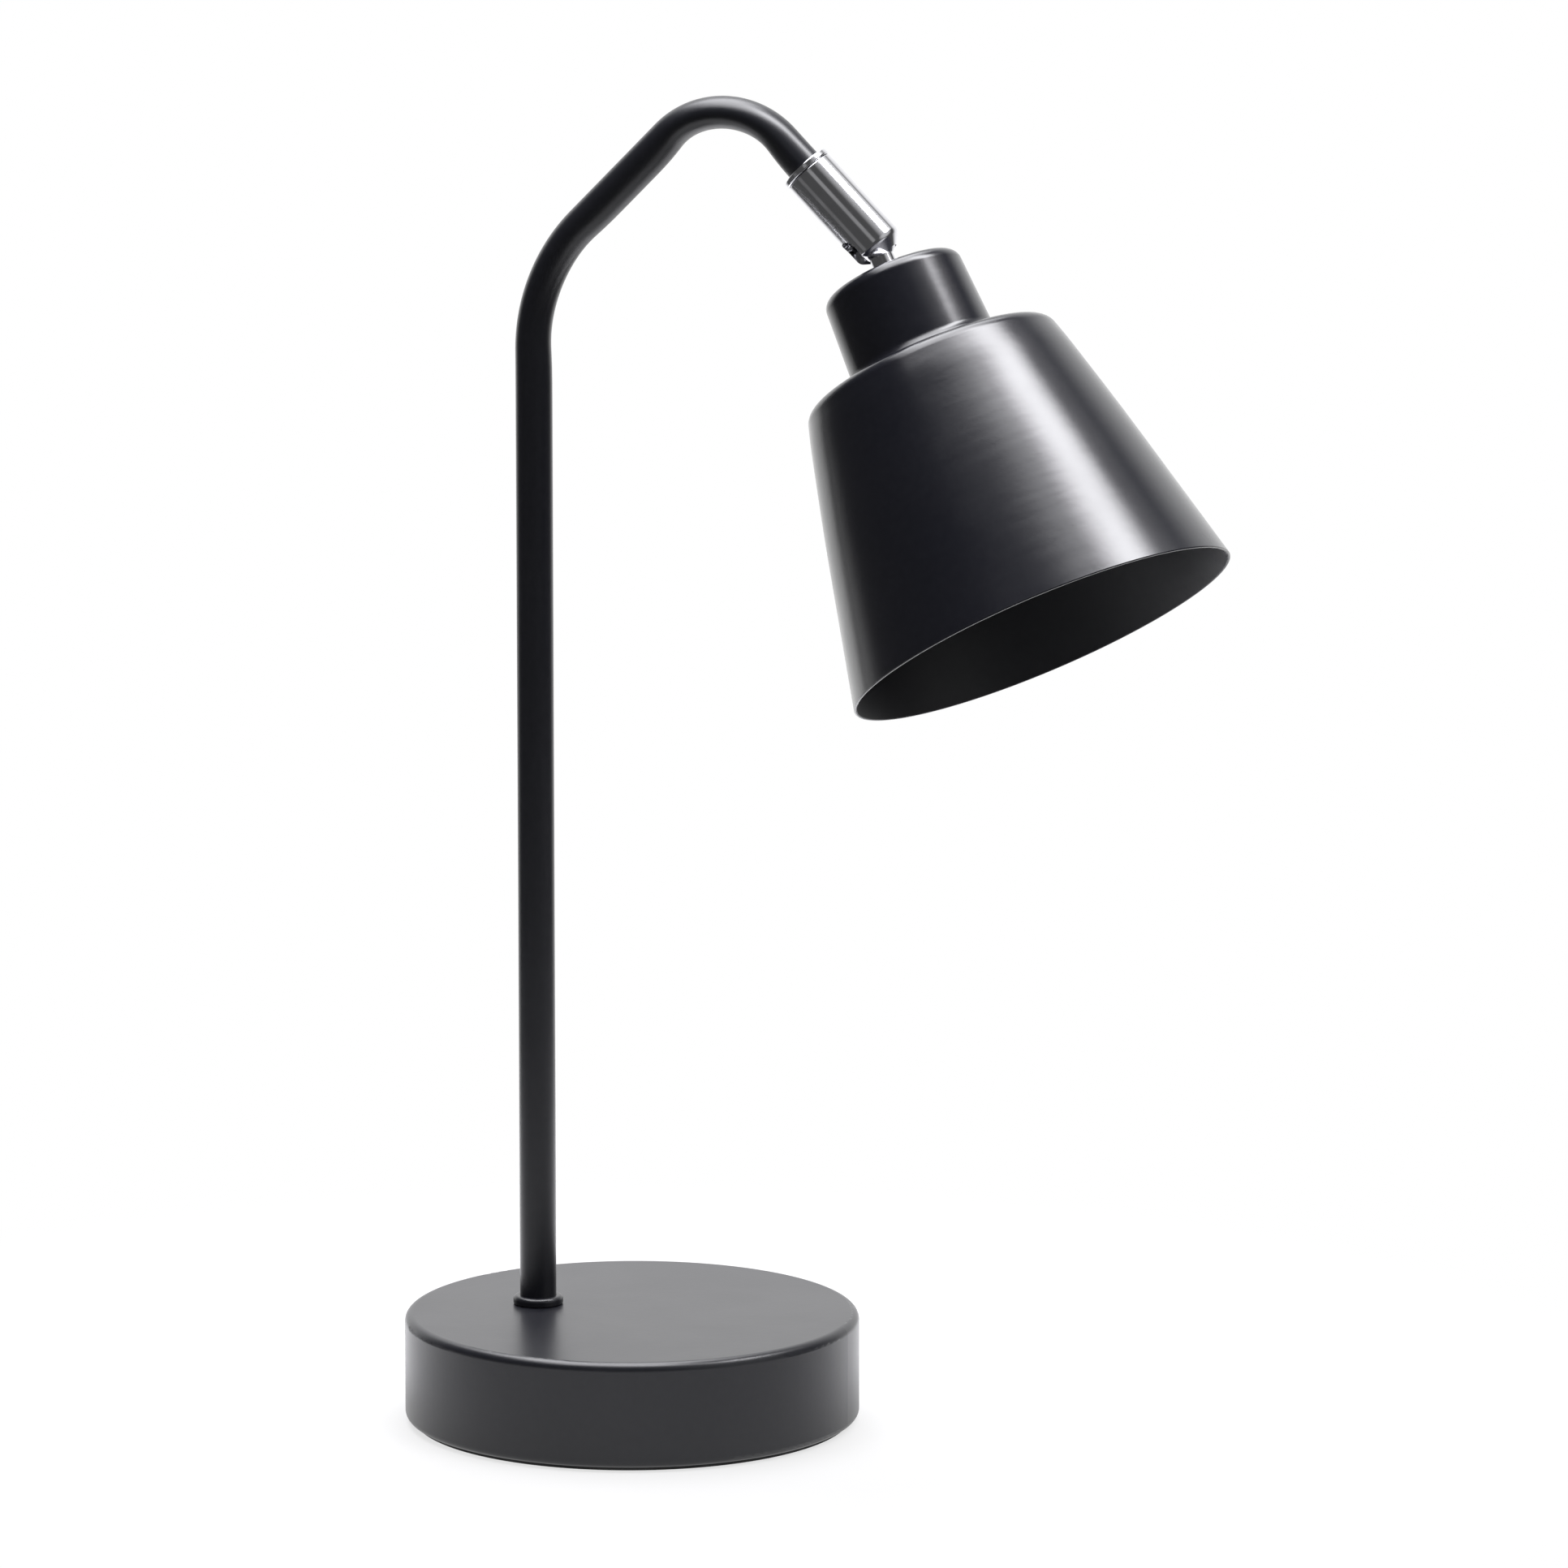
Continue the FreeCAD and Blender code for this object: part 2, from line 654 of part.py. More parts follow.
def make_shade():
    """Spun shade in one piece, and the washer and nut that clamp it to the stud."""
    top = "shade_distance"
    foot = "shade_distance + neck_height"
    shoulder = f"{foot} + shoulder_drop"
    rim = f"{shoulder} + cone_height"
    shade = turned(
        "Shade",
        [
            ("thread_diameter / 2 + fit_gap", top),
            ("neck_top_diameter / 2", top, "neck_round"),
            ("neck_bottom_diameter / 2", foot, "neck_fillet"),
            ("shoulder_diameter / 2", shoulder, "shoulder_round"),
            ("mouth_width / 2", rim, "rim_round"),
            ("mouth_width / 2 - shade_wall", rim, "rim_round"),
            ("shoulder_diameter / 2 - shade_wall", f"{shoulder} + shade_wall", "shoulder_round - shade_wall"),
            ("neck_bottom_diameter / 2 - shade_wall", f"{foot} + shade_wall", "neck_fillet + shade_wall"),
            ("neck_top_diameter / 2 - shade_wall", f"{top} + shade_wall", "neck_round - shade_wall"),
            ("thread_diameter / 2 + fit_gap", f"{top} + shade_wall"),
        ],
    )
    finish(shade, "shade", HEAD)
    bore = "thread_diameter + 2 * fit_gap"
    washer = ring("ShadeWasher", bore, "shade_washer_diameter", "0", "shade_washer_height")
    finish(washer, "shade_washer", HEAD, ("0", "0", SHADE_INSIDE))
    nut = hexagon_nut("ShadeNut", "nut_flats", "shade_nut_height", bore)
    finish(nut, "shade_nut", HEAD, ("0", "0", NUT_SEAT))


def make_holder():
    """Two-piece lamp holder with its insulator, screw shell, contact and terminals."""
    cap_radius = "holder_cap_diameter / 2"
    inner_radius = f"{cap_radius} - holder_wall"
    bore = "thread_diameter / 2 + fit_gap"
    cap = turned(
        "HolderCap",
        [
            (bore, "0"),
            (f"{cap_radius} - holder_cap_slope", "0"),
            (cap_radius, "holder_cap_slope"),
            (cap_radius, "holder_cap_height"),
            (inner_radius, "holder_cap_height"),
            (inner_radius, "holder_cap_slope + holder_wall / 2"),
            (f"{inner_radius} - holder_cap_slope + holder_wall / 2", "holder_wall"),
            ("holder_boss / 2", "holder_wall"),
            ("holder_boss / 2", "holder_boss_height"),
            (bore, "holder_boss_height"),
        ],
    )
    finish(cap, "holder_cap", HEAD, ("0", "0", HOLDER_TOP))
    skirt = "holder_body_diameter / 2"
    well = f"{skirt} - holder_wall"
    flange_end = "holder_spigot + holder_flange_height"
    body = turned(
        "HolderBody",
        [
            (well, "0"),
            (f"{inner_radius} - fit_gap", "0"),
            (f"{inner_radius} - fit_gap", "holder_spigot"),
            (cap_radius, "holder_spigot"),
            (cap_radius, flange_end, "holder_wall / 2"),
            (skirt, flange_end),
            (skirt, "holder_spigot + holder_body_height", "holder_wall / 2"),
            (well, "holder_spigot + holder_body_height"),
        ],
    )
    finish(body, "holder_body", HEAD, ("0", "0", f"{HOLDER_SPLIT} - holder_spigot"))
    insulator = turned(
        "HolderInsulator",
        [
            ("0", "0"),
            (f"{well} - fit_gap", "0"),
            (f"{well} - fit_gap", "insulator_height"),
            ("0", "insulator_height"),
        ],
    )
    finish(insulator, "holder_insulator", HEAD, ("0", "0", INSULATOR_TOP))
    shell_bore = "shell_diameter / 2 - shell_wall"
    shell = turned(
        "ScrewShell",
        [
            (shell_bore, "0"),
            ("shell_flange / 2", "0"),
            ("shell_flange / 2", "shell_wall"),
            ("shell_diameter / 2", "shell_wall"),
            ("shell_diameter / 2", "shell_height"),
            (shell_bore, "shell_height"),
        ],
    )
    finish(shell, "screw_shell", HEAD, ("0", "0", INSULATOR_SEAT))
    contact = turned(
        "CentreContact",
        [
            ("0", "0"),
            ("contact_diameter / 2", "0"),
            ("contact_diameter / 2", "contact_height", "contact_height / 2"),
            ("0", "contact_height"),
        ],
    )
    finish(contact, "centre_contact", HEAD, ("0", "0", INSULATOR_SEAT))
    screws = []
    for side in (-1, 1):
        screw = doc.addObject("Part::Cylinder", f"TerminalScrew{len(screws) + 1}")
        screw.setExpression("Radius", sized("screw_head_diameter / 2"))
        screw.setExpression("Height", sized("screw_head_height"))
        screw.setExpression("Placement.Base.x", sized(f"{side} * screw_spacing / 2"))
        screws.append(screw)
    pair = doc.addObject("Part::MultiFuse", "TerminalScrews")
    pair.Shapes = screws
    finish(pair, "terminal_screws", HEAD, ("0", "0", f"{INSULATOR_TOP} - screw_head_height"))


def make_lamp():
    """Small screw-cap lamp: contact, insulator, threaded cap and hollow glass."""
    contact = turned(
        "LampContact",
        [
            ("0", "0"),
            ("lamp_contact_diameter / 2", "0", "lamp_contact_height / 2"),
            ("lamp_contact_diameter / 2", "lamp_contact_height"),
            ("0", "lamp_contact_height"),
        ],
    )
    finish(contact, "bulb_contact", HEAD, ("0", "0", LAMP_END))
    insulator = turned(
        "LampInsulator",
        [
            ("0", "0"),
            ("lamp_contact_diameter / 2", "0"),
            (ROOT, "lamp_insulator_height"),
            ("0", "lamp_insulator_height"),
        ],
    )
    finish(insulator, "bulb_insulator", HEAD, ("0", "0", LAMP_CAP_START))
    wall = "lamp_thread_depth"
    crest = "lamp_cap_diameter / 2"
    outline = [
        (f"{ROOT} - {wall}", "lamp_insulator_height"),
        (ROOT, "lamp_insulator_height"),
    ]
    for turn in range(LAMP_THREADS):
        base = f"lamp_insulator_height + {turn} * lamp_thread_pitch"
        outline.append((ROOT, f"{base} + lamp_thread_rise"))
        outline.append((crest, f"{base} + lamp_thread_crest", "lamp_thread_depth / 2"))
    collar_start = f"lamp_insulator_height + {LAMP_THREADS} * lamp_thread_pitch"
    outline.append((ROOT, collar_start))
    outline.append((ROOT, "lamp_cap_height"))
    outline.append((f"{ROOT} - {wall}", "lamp_cap_height"))
    finish(turned("LampCap", outline), "bulb_cap", HEAD, ("0", "0", LAMP_CAP_START))
    radius = "bulb_diameter / 2"
    inner = f"{radius} - bulb_wall"
    widest = "bulb_length - bulb_dome"
    roundness = "bulb_roundness"
    glass = turned(
        "BulbGlass",
        [
            (f"{ROOT} - bulb_wall", "0"),
            (ROOT, "0"),
            (radius, widest, roundness),
            (radius, "bulb_length", roundness),
            ("0", "bulb_length"),
            ("0", "bulb_length - bulb_wall"),
            (inner, "bulb_length - bulb_wall", f"{roundness} - bulb_wall"),
            (inner, widest, f"{roundness} - bulb_wall"),
        ],
    )
    finish(glass, "bulb_glass", HEAD, ("0", "0", BULB_START))


def check_and_write():
    """Stop on any faulty object, then write each sub-part to its own file."""
    doc.recompute()
    faults = [item.Name for item in doc.Objects if "Invalid" in item.State or "Error" in item.State]
    for part in nodes:
        if part.Shape.isNull() or not part.Shape.isValid() or not part.Shape.Solids:
            faults.append(part.Label)
    if faults:
        raise RuntimeError("faulty objects: " + ", ".join(faults))
    os.makedirs("parts", exist_ok=True)
    for part in nodes:
        part.Shape.exportStep(f"parts/{part.Label}.step")
        print(f"{part.Label}: {part.Shape.Volume:.1f} mm3, {len(part.Shape.Solids)} solid(s)")


fill_sheet()
make_base()
make_grommet()
make_pole()
make_swivel()
make_stud()
make_shade()
make_holder()
make_lamp()
check_and_write()
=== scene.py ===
"""Looks of the angled arm desk lamp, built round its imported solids.

Lengths are metres in the solids' own frame: the origin is the centre of the foot pad's underside, +Z is up
and +X is the way the arm reaches.
"""

import json
import math

import bpy
import numpy as np
from mathutils import Matrix


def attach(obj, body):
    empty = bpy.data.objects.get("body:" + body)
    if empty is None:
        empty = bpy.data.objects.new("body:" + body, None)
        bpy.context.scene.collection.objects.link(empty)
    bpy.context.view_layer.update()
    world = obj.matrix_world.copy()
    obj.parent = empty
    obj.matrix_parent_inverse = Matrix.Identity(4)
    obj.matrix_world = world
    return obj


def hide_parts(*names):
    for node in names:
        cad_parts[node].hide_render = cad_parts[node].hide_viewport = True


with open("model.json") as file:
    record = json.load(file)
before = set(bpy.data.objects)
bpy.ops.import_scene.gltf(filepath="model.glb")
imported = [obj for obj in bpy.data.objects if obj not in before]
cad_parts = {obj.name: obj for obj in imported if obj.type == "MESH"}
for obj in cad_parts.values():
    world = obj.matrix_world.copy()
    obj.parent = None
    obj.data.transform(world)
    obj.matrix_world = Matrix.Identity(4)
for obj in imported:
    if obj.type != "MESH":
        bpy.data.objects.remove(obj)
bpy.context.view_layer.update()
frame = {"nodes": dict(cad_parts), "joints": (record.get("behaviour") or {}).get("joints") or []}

bl_info = {
    "name": "Angled arm desk lamp",
    "version": (1, 0, 0),
    "blender": (4, 5, 0),
    "location": "3D View > Sidebar > Desk lamp",
    "description": "Builds the visible pieces and finishes of a desk lamp with a bent arm and a ball swivel",
    "category": "Object",
}

MM = 0.001
NODES = frame["nodes"]
JOINTS = {joint["name"]: joint for joint in frame["joints"]}

UP = np.array([0, 0, 1.0])
NOWHERE = 0.0, 0.0, 0.0
# What counts as nothing, and the decimals with which heights are compared.
TINY = 1e-9
DIGITS = 7

# Columns round a turned piece, the shade, the slotted sleeve, and a tube, a thread or the table.
AROUND, SHADE_COLUMNS, SLEEVE_COLUMNS, TUBE_COLUMNS = 192, 256, 145, 96
# Steps in a quarter turn of a corner and along the ball, and rows of the thread, slot's end, nose and socket's hollow.
CORNER_STEPS, BALL_STEPS = 8, 40
THREAD_ROWS, SLOT_ROWS, NOSE_ROWS, HOLLOW_ROWS = 150, 17, 9, 11

# Power of the slot's rounded end (2 is an ellipse), and how steeply its wall runs at the very end.
SLOT_POWER = 2.4
SLOT_END = 1e3
# Length over which a bend's press fades along the tube.
PRESS_FADE = 7 * MM
# Fits that the solids share.
FIT_GAP = 0.05 * MM
SLEEVE_GAP = 0.1 * MM

# Where the handling marks fade in, and the grain's tones from one colour to the other on paint and on other skins.
CLOUD_EDGE = 0.32, 0.68
PAINT_TONES = 0.15, 0.4
GRAIN_TONES = 0.1, 0.4
GRAIN_INPUTS = "Pits", "Swell", "Pit depth", "Swell depth"
METAL = {"Metallic": 1.0}
MILKY = {"Transmission Weight": 0.25, "IOR": 1.5}
# Plain finishes: colour setting, factor to its other colour, what the colour follows, scale of the handling marks,
# least and most roughness, values for the grain's inputs, and the shader's own values.
PLAIN_FINISHES = {
    "Zinc plate": ("zinc", 0.8, "marks", 160.0, (0.25, 0.42), (4000.0, 900.0), METAL),
    "Cast iron": ("iron", 0.55, "grain", 60.0, (0.55, 0.75), (900.0, 140.0, 1.2e-4, 1.5e-4), METAL),
    "Black rubber": ("rubber", 2.0, "grain", 45.0, (0.62, 0.8), (1500.0, 300.0, 4.0e-5, 3.0e-5), {}),
    "Black moulding": ("plastic", 1.6, "grain", 80.0, (0.32, 0.46), (1800.0, 260.0, 6.0e-6, 1.2e-5), {}),
    "Bare brass": ("brass", 0.68, "marks", 200.0, (0.2, 0.38), (5000.0, 1200.0), METAL),
    "Opal glass": ("glass", 0.96, "marks", 40.0, (0.22, 0.3), (1200.0, 150.0, 5.0e-7, 4.0e-6), MILKY),
}

# Studio's brightness by the way looked: cosines to a way between which it goes from one level to another. The ways of
# the glows and patches are degrees from the camera's way to its right, and of rise.
BACKDROP_LEAN = 0.03
BACKDROP = 0.38, 0.8, 0.0, 1.27
SIDE_GLOW = 62, 30, 0.78, 0.95, 0.04, 0.68, "LINEAR"
HIGH_GLOW = 112, 47, 0.96, 0.995, 0.0, 0.9
PATCHES = (-10, 20, 0.986, 0.996, 0.09, 0.36), (-52, -19, 0.986, 0.996, 0.09, 0.19)
# Soft boxes over the lamp: name, place to the camera's right and towards it, width, depth, half the width of the soft
# edge, turn and brightness as a multiple of white.
SOFT_BOXES = (
    ("Right soft box", 1.37, 0.21, 2.27, 1.12, 0.48, math.radians(4.7), 21.5),
    ("Back soft box", -0.50, -0.54, 2.12, 3.15, 0.85, 0.0, 10.0),
)
# Place under the boxes, growth of their nested rectangles as shares of the soft edge, and the gap between these.
ARM_TOP = np.array([0.045, 0, 0.435])
BOX_EDGES = 0.92, 0.0, -0.92
BOX_GAP = 0.01
SENSOR_WIDTH = 36

# The table lies a hair below the foot pad, so that their faces don't coincide.
TABLE_LEVEL, TABLE_MIDDLE, TABLE_RINGS = -0.2 * MM, 2 * MM, 24
# Depth over which the table grows paler, drift of its tone, from where to what share of its radius it turns white, and
# the painted glow that reflections see in it near the lamp: between two distances it falls between two shares.
FLOOR_DEPTH, FLOOR_DRIFT = 0.12, 0.02
FLOOR_NEAR, FLOOR_FAR = 0.1, 0.8
FLOOR_REFLECTED_GLOW = 0.08, 0.13, 0.8, 0.0


def length(name, description, millimetres):
    """Length property with its default given in millimetres."""
    return bpy.props.FloatProperty(
        name=name, description=description, default=millimetres * MM, min=0, unit="LENGTH", precision=5
    )


def degrees(name, description, value):
    """Angle property with its default given in degrees."""
    return bpy.props.FloatProperty(name=name, description=description, default=math.radians(value), subtype="ANGLE")


def colour(name, description, value):
    """Colour property without alpha."""
    return bpy.props.FloatVectorProperty(
        name=name, description=description, default=value, min=0, max=1, size=3, subtype="COLOR"
    )


def share(name, description, value, most=1):
    """Factor property from none to its greatest value."""
    return bpy.props.FloatProperty(
        name=name, description=description, default=value, min=0, max=most, subtype="FACTOR", precision=4
    )


class LampShadeSizes(bpy.types.PropertyGroup):
    """Sizes of the spun shade."""

    start: length("Start", "Distance of the neck's top from the ball's centre", 11.2)
    wall: length("Wall", "Thickness of the sheet", 1)
    stud_hole: length("Stud hole", "Diameter of the hole for the stud", 9.6)
    neck_top: length("Neck top", "Diameter of the neck's top", 46.3)
    neck_bottom: length("Neck bottom", "Diameter of the neck's foot", 49.2)
    neck_height: length("Neck height", "Height of the neck", 29.8)
    neck_round: length("Neck rounding", "Radius of the neck's top edge", 4)
    neck_fillet: length("Neck fillet", "Radius between neck and shoulder", 3.9)
    shoulder: length("Shoulder", "Diameter of the shoulder", 84)
    shoulder_drop: length("Shoulder drop", "Fall of the shoulder from the neck to its edge", 3)
    shoulder_round: length("Shoulder rounding", "Radius of the shoulder's edge", 4.9)
    ease: length("Ease", "Swell of the cone beyond a straight line, just below the shoulder", 0.51)
    ease_drop: length("Ease drop", "Distance from the shoulder to the ease", 9)
    ease_round: length("Ease rounding", "Radius of the ease along the cone", 150)
    crown: length("Crown", "Swell of the cone beyond a straight line, at the crown", 0.77)
    crown_drop: length("Crown drop", "Distance from the shoulder to the crown", 38)
    crown_round: length("Crown rounding", "Radius of the crown along the cone", 900)
    mouth: length("Mouth", "Diameter of the mouth", 129.8)
    cone_height: length("Cone height", "Height from the shoulder to the rim", 94.4)
    rim_round: length("Rim rounding", "Radius of the rim's edges", 0.35)


class LampArmSizes(bpy.types.PropertyGroup):
    """Sizes of the bent tube and its collar."""

    foot_x: bpy.props.FloatProperty(
        name="Pole place", description="Place of the pole on the base", default=-33 * MM, unit="LENGTH", precision=5
    )
    foot_z: length("Pole foot", "Height of the base's top", 36)
    tube: length("Tube", "Outer diameter of the tube", 12)
    tube_wall: length("Tube wall", "Thickness of the tube's wall", 1.2)
    pole: length("Pole", "Length of the upright pole", 318)
    lower_radius: length("Lower bend", "Centre line radius of the lower bend", 59.3)
    slope: length("Slope", "Length of the straight slope", 41.3)
    upper_radius: length("Upper bend", "Centre line radius of the upper bend", 27.2)
    tail: length("Tail", "Length of the straight end", 11.25)
    rise: degrees("Rise", "Slope of the arm up", 45)
    drop: degrees("Drop", "Slope of the arm's end down", 45)
    lower_press: share("Lower press", "How much the lower bend presses the tube oval", 0.055, most=0.2)
    upper_press: share("Upper press", "How much the upper bend presses the tube oval", 0.118, most=0.2)
    collar: length("Collar", "Diameter of the collar", 16.5)
    collar_height: length("Collar height", "Height of the collar", 3)
    collar_round: length("Collar rounding", "Radius of the collar's top edge", 1.4)
    collar_foot: length("Collar foot", "Radius of the collar's lower edge", 0.7)


class LampSwivelSizes(bpy.types.PropertyGroup):
    """Sizes of the swivel's ring, sleeve and ball stud."""

    ring: length("Ring", "Diameter of the ring", 17.5)
    ring_height: length("Ring height", "Height of the ring", 2)
    edge_round: length("Edge rounding", "Radius of the ring's and sleeve's edges", 0.5)
    bore: length("Bore", "Diameter of the lead's way through", 6.6)
    spigot: length("Spigot", "Length of the spigot in the tube", 10)
    spindle: length("Spindle", "Diameter of the spindle", 9)
    spindle_length: length("Spindle length", "Length of the spindle", 9.4)
    groove_place: length("Groove place", "Distance from the ring's top to the clip's groove", 9.1)
    groove_height: length("Groove height", "Height of the clip's groove", 1)
    groove_depth: length("Groove depth", "Depth of the clip's groove", 0.5)
    sleeve_shoulder: length("Sleeve shoulder", "Distance from the ring's top to the sleeve's inner step", 9)
    sleeve: length("Sleeve", "Diameter of the sleeve", 17)
    sleeve_length: length("Sleeve length", "Distance from the ring's top to the start of the sleeve's nose", 35.15)
    nose_length: length("Nose length", "Length of the nose to its tip", 4)
    nose_tip: length("Nose tip", "Diameter of the nose's tip", 8.4)
    nose_round: length("Nose rounding", "Radius of the nose's edge", 2.6)
    lip: length("Lip", "Width of the nose's flat lip", 0.15)
    nose_mouth: length("Nose mouth", "Diameter of the nose's opening", 9.4)
    slot: length("Slot", "Width of the slot", 8.6)
    slot_round: length("Slot rounding", "Length of the slot's rounded end", 3.6)
    slot_reach: length("Slot reach", "Distance from the slot's end to the ball's centre", 7)
    ball_place: length("Ball place", "Distance from the ring's top to the ball's centre", 34.15)
    ball: length("Ball", "Diameter of the ball", 12)
    socket: length("Socket", "Diameter of the ball's socket", 12.16)
    tilt: degrees("Tilt", "Tilt of the head at rest", 19.9)
    stem: length("Stem", "Diameter of the stud's stem", 8)
    stem_bore: length("Stem bore", "Diameter of the stud's bore", 5.4)
    stem_flare: length("Stem flare", "Radius between stem and flange", 2)
    flange: length("Flange", "Diameter of the stud's flange", 13.6)
    flange_height: length("Flange height", "Height of the stud's flange", 1.2)
    thread: length("Thread", "Diameter of the stud's thread", 9.5)
    thread_length: length("Thread length", "Length of the stud's thread", 14)


class LampBulbSizes(bpy.types.PropertyGroup):
    """Sizes of the lamp's screw cap."""

    cap_start: length("Cap start", "Distance of the cap from the ball's centre", 40)
    cap: length("Cap", "Diameter of the cap over its thread", 13.8)
    cap_height: length("Cap height", "Height of the cap with its insulator", 20)
    insulator: length("Insulator", "Height of the insulator", 3)
    depth: length("Thread depth", "Depth of the thread", 0.8)
    pitch: length("Thread pitch", "Rise of the thread in a turn", 2.8)
    threaded: length("Threaded part", "Height of the threaded part", 14)


class LampFinish(bpy.types.PropertyGroup):
    """Colours and gloss of the finishes."""

    paint: colour("Paint", "Satin black powder coat", (0.0045, 0.0048, 0.0076))
    paint_pale: colour("Pale paint", "Powder coat where it is thin", (0.0062, 0.0065, 0.0094))
    paint_gloss: share("Paint roughness", "Middle roughness of the powder coat", 0.33)
    shade_gloss: share("Shade roughness", "Middle roughness of the powder coat on the shade", 0.212)
    chrome: colour("Chrome", "Polished plate", (0.64, 0.64, 0.665))
    zinc: colour("Zinc", "Plated steel inside", (0.5, 0.5, 0.51))
    iron: colour("Iron", "Weight as cast", (0.09, 0.088, 0.085))
    rubber: colour("Rubber", "Grommet and foot pad", (0.012, 0.012, 0.0125))
    plastic: colour("Plastic", "Lamp holder and ball seat", (0.02, 0.02, 0.021))
    brass: colour("Brass", "Contacts and screw shell", (0.62, 0.43, 0.18))
    glass: colour("Glass", "Opal bulb", (0.86, 0.86, 0.84))


class LampStage(bpy.types.PropertyGroup):
    """Camera, lights and floor."""

    lens: bpy.props.FloatProperty(
        name="Lens", description="Focal length", default=214.07, min=1, subtype="DISTANCE_CAMERA"
    )
    swing: degrees("Swing", "Turn of the camera round the lamp", 18.706)
    pitch: degrees("Pitch", "Camera's look down", 10.105)
    reach: length("Reach", "Distance of the camera", 3000)
    aside: length("Aside", "Shift of the camera to its right", 50.13)
    above: length("Above", "Height of the camera", 747.18)
    box_height: length("Soft box height", "Height of the soft boxes over the arm", 2500)
    box_colour: colour("Soft box colour", "Slightly cool light of the soft boxes", (0.968, 0.966, 1.0))
    floor_front: share("Floor in front", "How pale the table is in front of the lamp", 0.37)
    floor_back: share("Floor behind", "How pale the table is behind the lamp", 0.6)
    floor_white: share("Floor white", "How far the table near the lamp is lifted to white for the camera", 0.72)
    floor_radius: length("Floor radius", "Radius of the pale table", 450)


class LampSettings(bpy.types.PropertyGroup):
    """All settings of the desk lamp."""

    shade: bpy.props.PointerProperty(type=LampShadeSizes)
    arm: bpy.props.PointerProperty(type=LampArmSizes)
    swivel: bpy.props.PointerProperty(type=LampSwivelSizes)
    bulb: bpy.props.PointerProperty(type=LampBulbSizes)
    finish: bpy.props.PointerProperty(type=LampFinish)
    stage: bpy.props.PointerProperty(type=LampStage)


def unit(vector):
    """Vector of length one."""
    vector = np.asarray(vector, float)
    return vector / np.linalg.norm(vector)


def stand_axes(settings):
    """Origin and axes of the upright pole, as (origin, across, side, along)."""
    origin = np.array([settings.arm.foot_x, 0, settings.arm.foot_z])
    return origin, *np.eye(3)


def swivel_axes():
    """Origin at the ring's top, with the third axis down the sleeve and the first through its slot."""
    along = unit(JOINTS["swivel_turn"]["axis"])
    side = unit(JOINTS["head_tilt"]["axis"])
    return np.array(JOINTS["swivel_turn"]["pos_m"]), unit(np.cross(side, along)), side, along


def head_axes(settings):
    """Origin at the ball's centre, with the third axis towards the shade's mouth: the sleeve's axes tilted at rest."""
    _, across, side, along = swivel_axes()
    cosine, sine = math.cos(settings.swivel.tilt), math.sin(settings.swivel.tilt)
    origin = np.array(JOINTS["head_tilt"]["pos_m"])
    return origin, across * cosine - along * sine, side, along * cosine + across * sine


def straight(start, end):
    """Straight run of a profile, with the normal on the right of its way."""
    points = np.array([start, end], float)
    way = unit(points[1] - points[0])
    normal = np.array([way[1], -way[0]])
    return points, np.stack([normal, normal])


def arc(centre, radius, begin, finish, steps, outward=1.0):
    """Round run: centre + radius (cos a, sin a) for angles from begin to finish, with the normal along the radius."""
    angles = np.linspace(begin, finish, steps + 1)
    rays = np.stack([np.cos(angles), np.sin(angles)], -1)
    return np.array(centre, float) + radius * rays, outward * rays


def rounded(corners, closed=True):
    """Runs through corners (radius, height, rounding): each rounding is an arc that touches the lines on both sides.

    The two ends of an open profile have no rounding.
    """
    places = np.array([corner[:2] for corner in corners], float)
    radii = np.array([corner[2] if len(corner) > 2 else 0.0 for corner in corners])
    ways = np.roll(places, -1, 0) - places
    ways /= np.linalg.norm(ways, axis=1)[:, None]
    before = np.roll(ways, 1, 0)
    turns = np.arctan2(before[:, 0] * ways[:, 1] - before[:, 1] * ways[:, 0], (before * ways).sum(1))
    cuts = (radii * np.tan(np.abs(turns) / 2))[:, None]
    entries, leaves = places - before * cuts, places + ways * cuts
    runs = []
    for index in range(len(corners)):
        if radii[index]:
            side = math.copysign(1.0, turns[index])
            normal = np.array([-before[index][1], before[index][0]]) * side
            begin = math.atan2(-normal[1], -normal[0])
            steps = max(2, round(CORNER_STEPS * abs(turns[index]) / (math.pi / 2)))
            centre = entries[index] + normal * radii[index]
            runs.append(arc(centre, radii[index], begin, begin + turns[index], steps, side))
        following = (index + 1) % len(corners)
        if (closed or following) and np.linalg.norm(entries[following] - leaves[index]) > TINY:
            runs.append(straight(leaves[index], entries[following]))
    return runs


def joined(runs):
    """Closed profile from runs that follow each other: its points, and the normals at each step's start and end."""
    steps = [(points[:-1], normals[:-1], normals[1:]) for points, normals in runs]
    return tuple(np.concatenate(part) for part in zip(*steps))


def quad_corners(starts, ends):
    """What lies at the four corners of each quad, from what each row starts with and what its step ends with."""
    return np.stack([starts, np.roll(starts, -1, 1), np.roll(ends, -1, 1), ends], 2)


def looped(places, *skin):
    """Surface from a grid of places whose rows and columns both close, as vertices, quads and corner normals.

    The normals come from those at each step's start and end, or there are none.
    """
    index = np.arange(places[..., 0].size).reshape(places.shape[:2])
    faces = quad_corners(index, np.roll(index, -1, 0)).reshape(-1, 4)
    return places.reshape(-1, 3), faces, quad_corners(*skin).reshape(-1, 4, 3) if skin else None


def full_turn(columns):
    """Angles of columns all round."""
    return np.linspace(0, 2 * np.pi, columns, endpoint=False)


def spun(values, angles, axes):
    """(across, along) pairs carried round the third axis: across (cos t x + sin t y) + along z."""
    _, across, side, along = axes
    rays = np.cos(angles)[..., None] * across + np.sin(angles)[..., None] * side
    return values[..., :1] * rays + values[..., 1:] * along


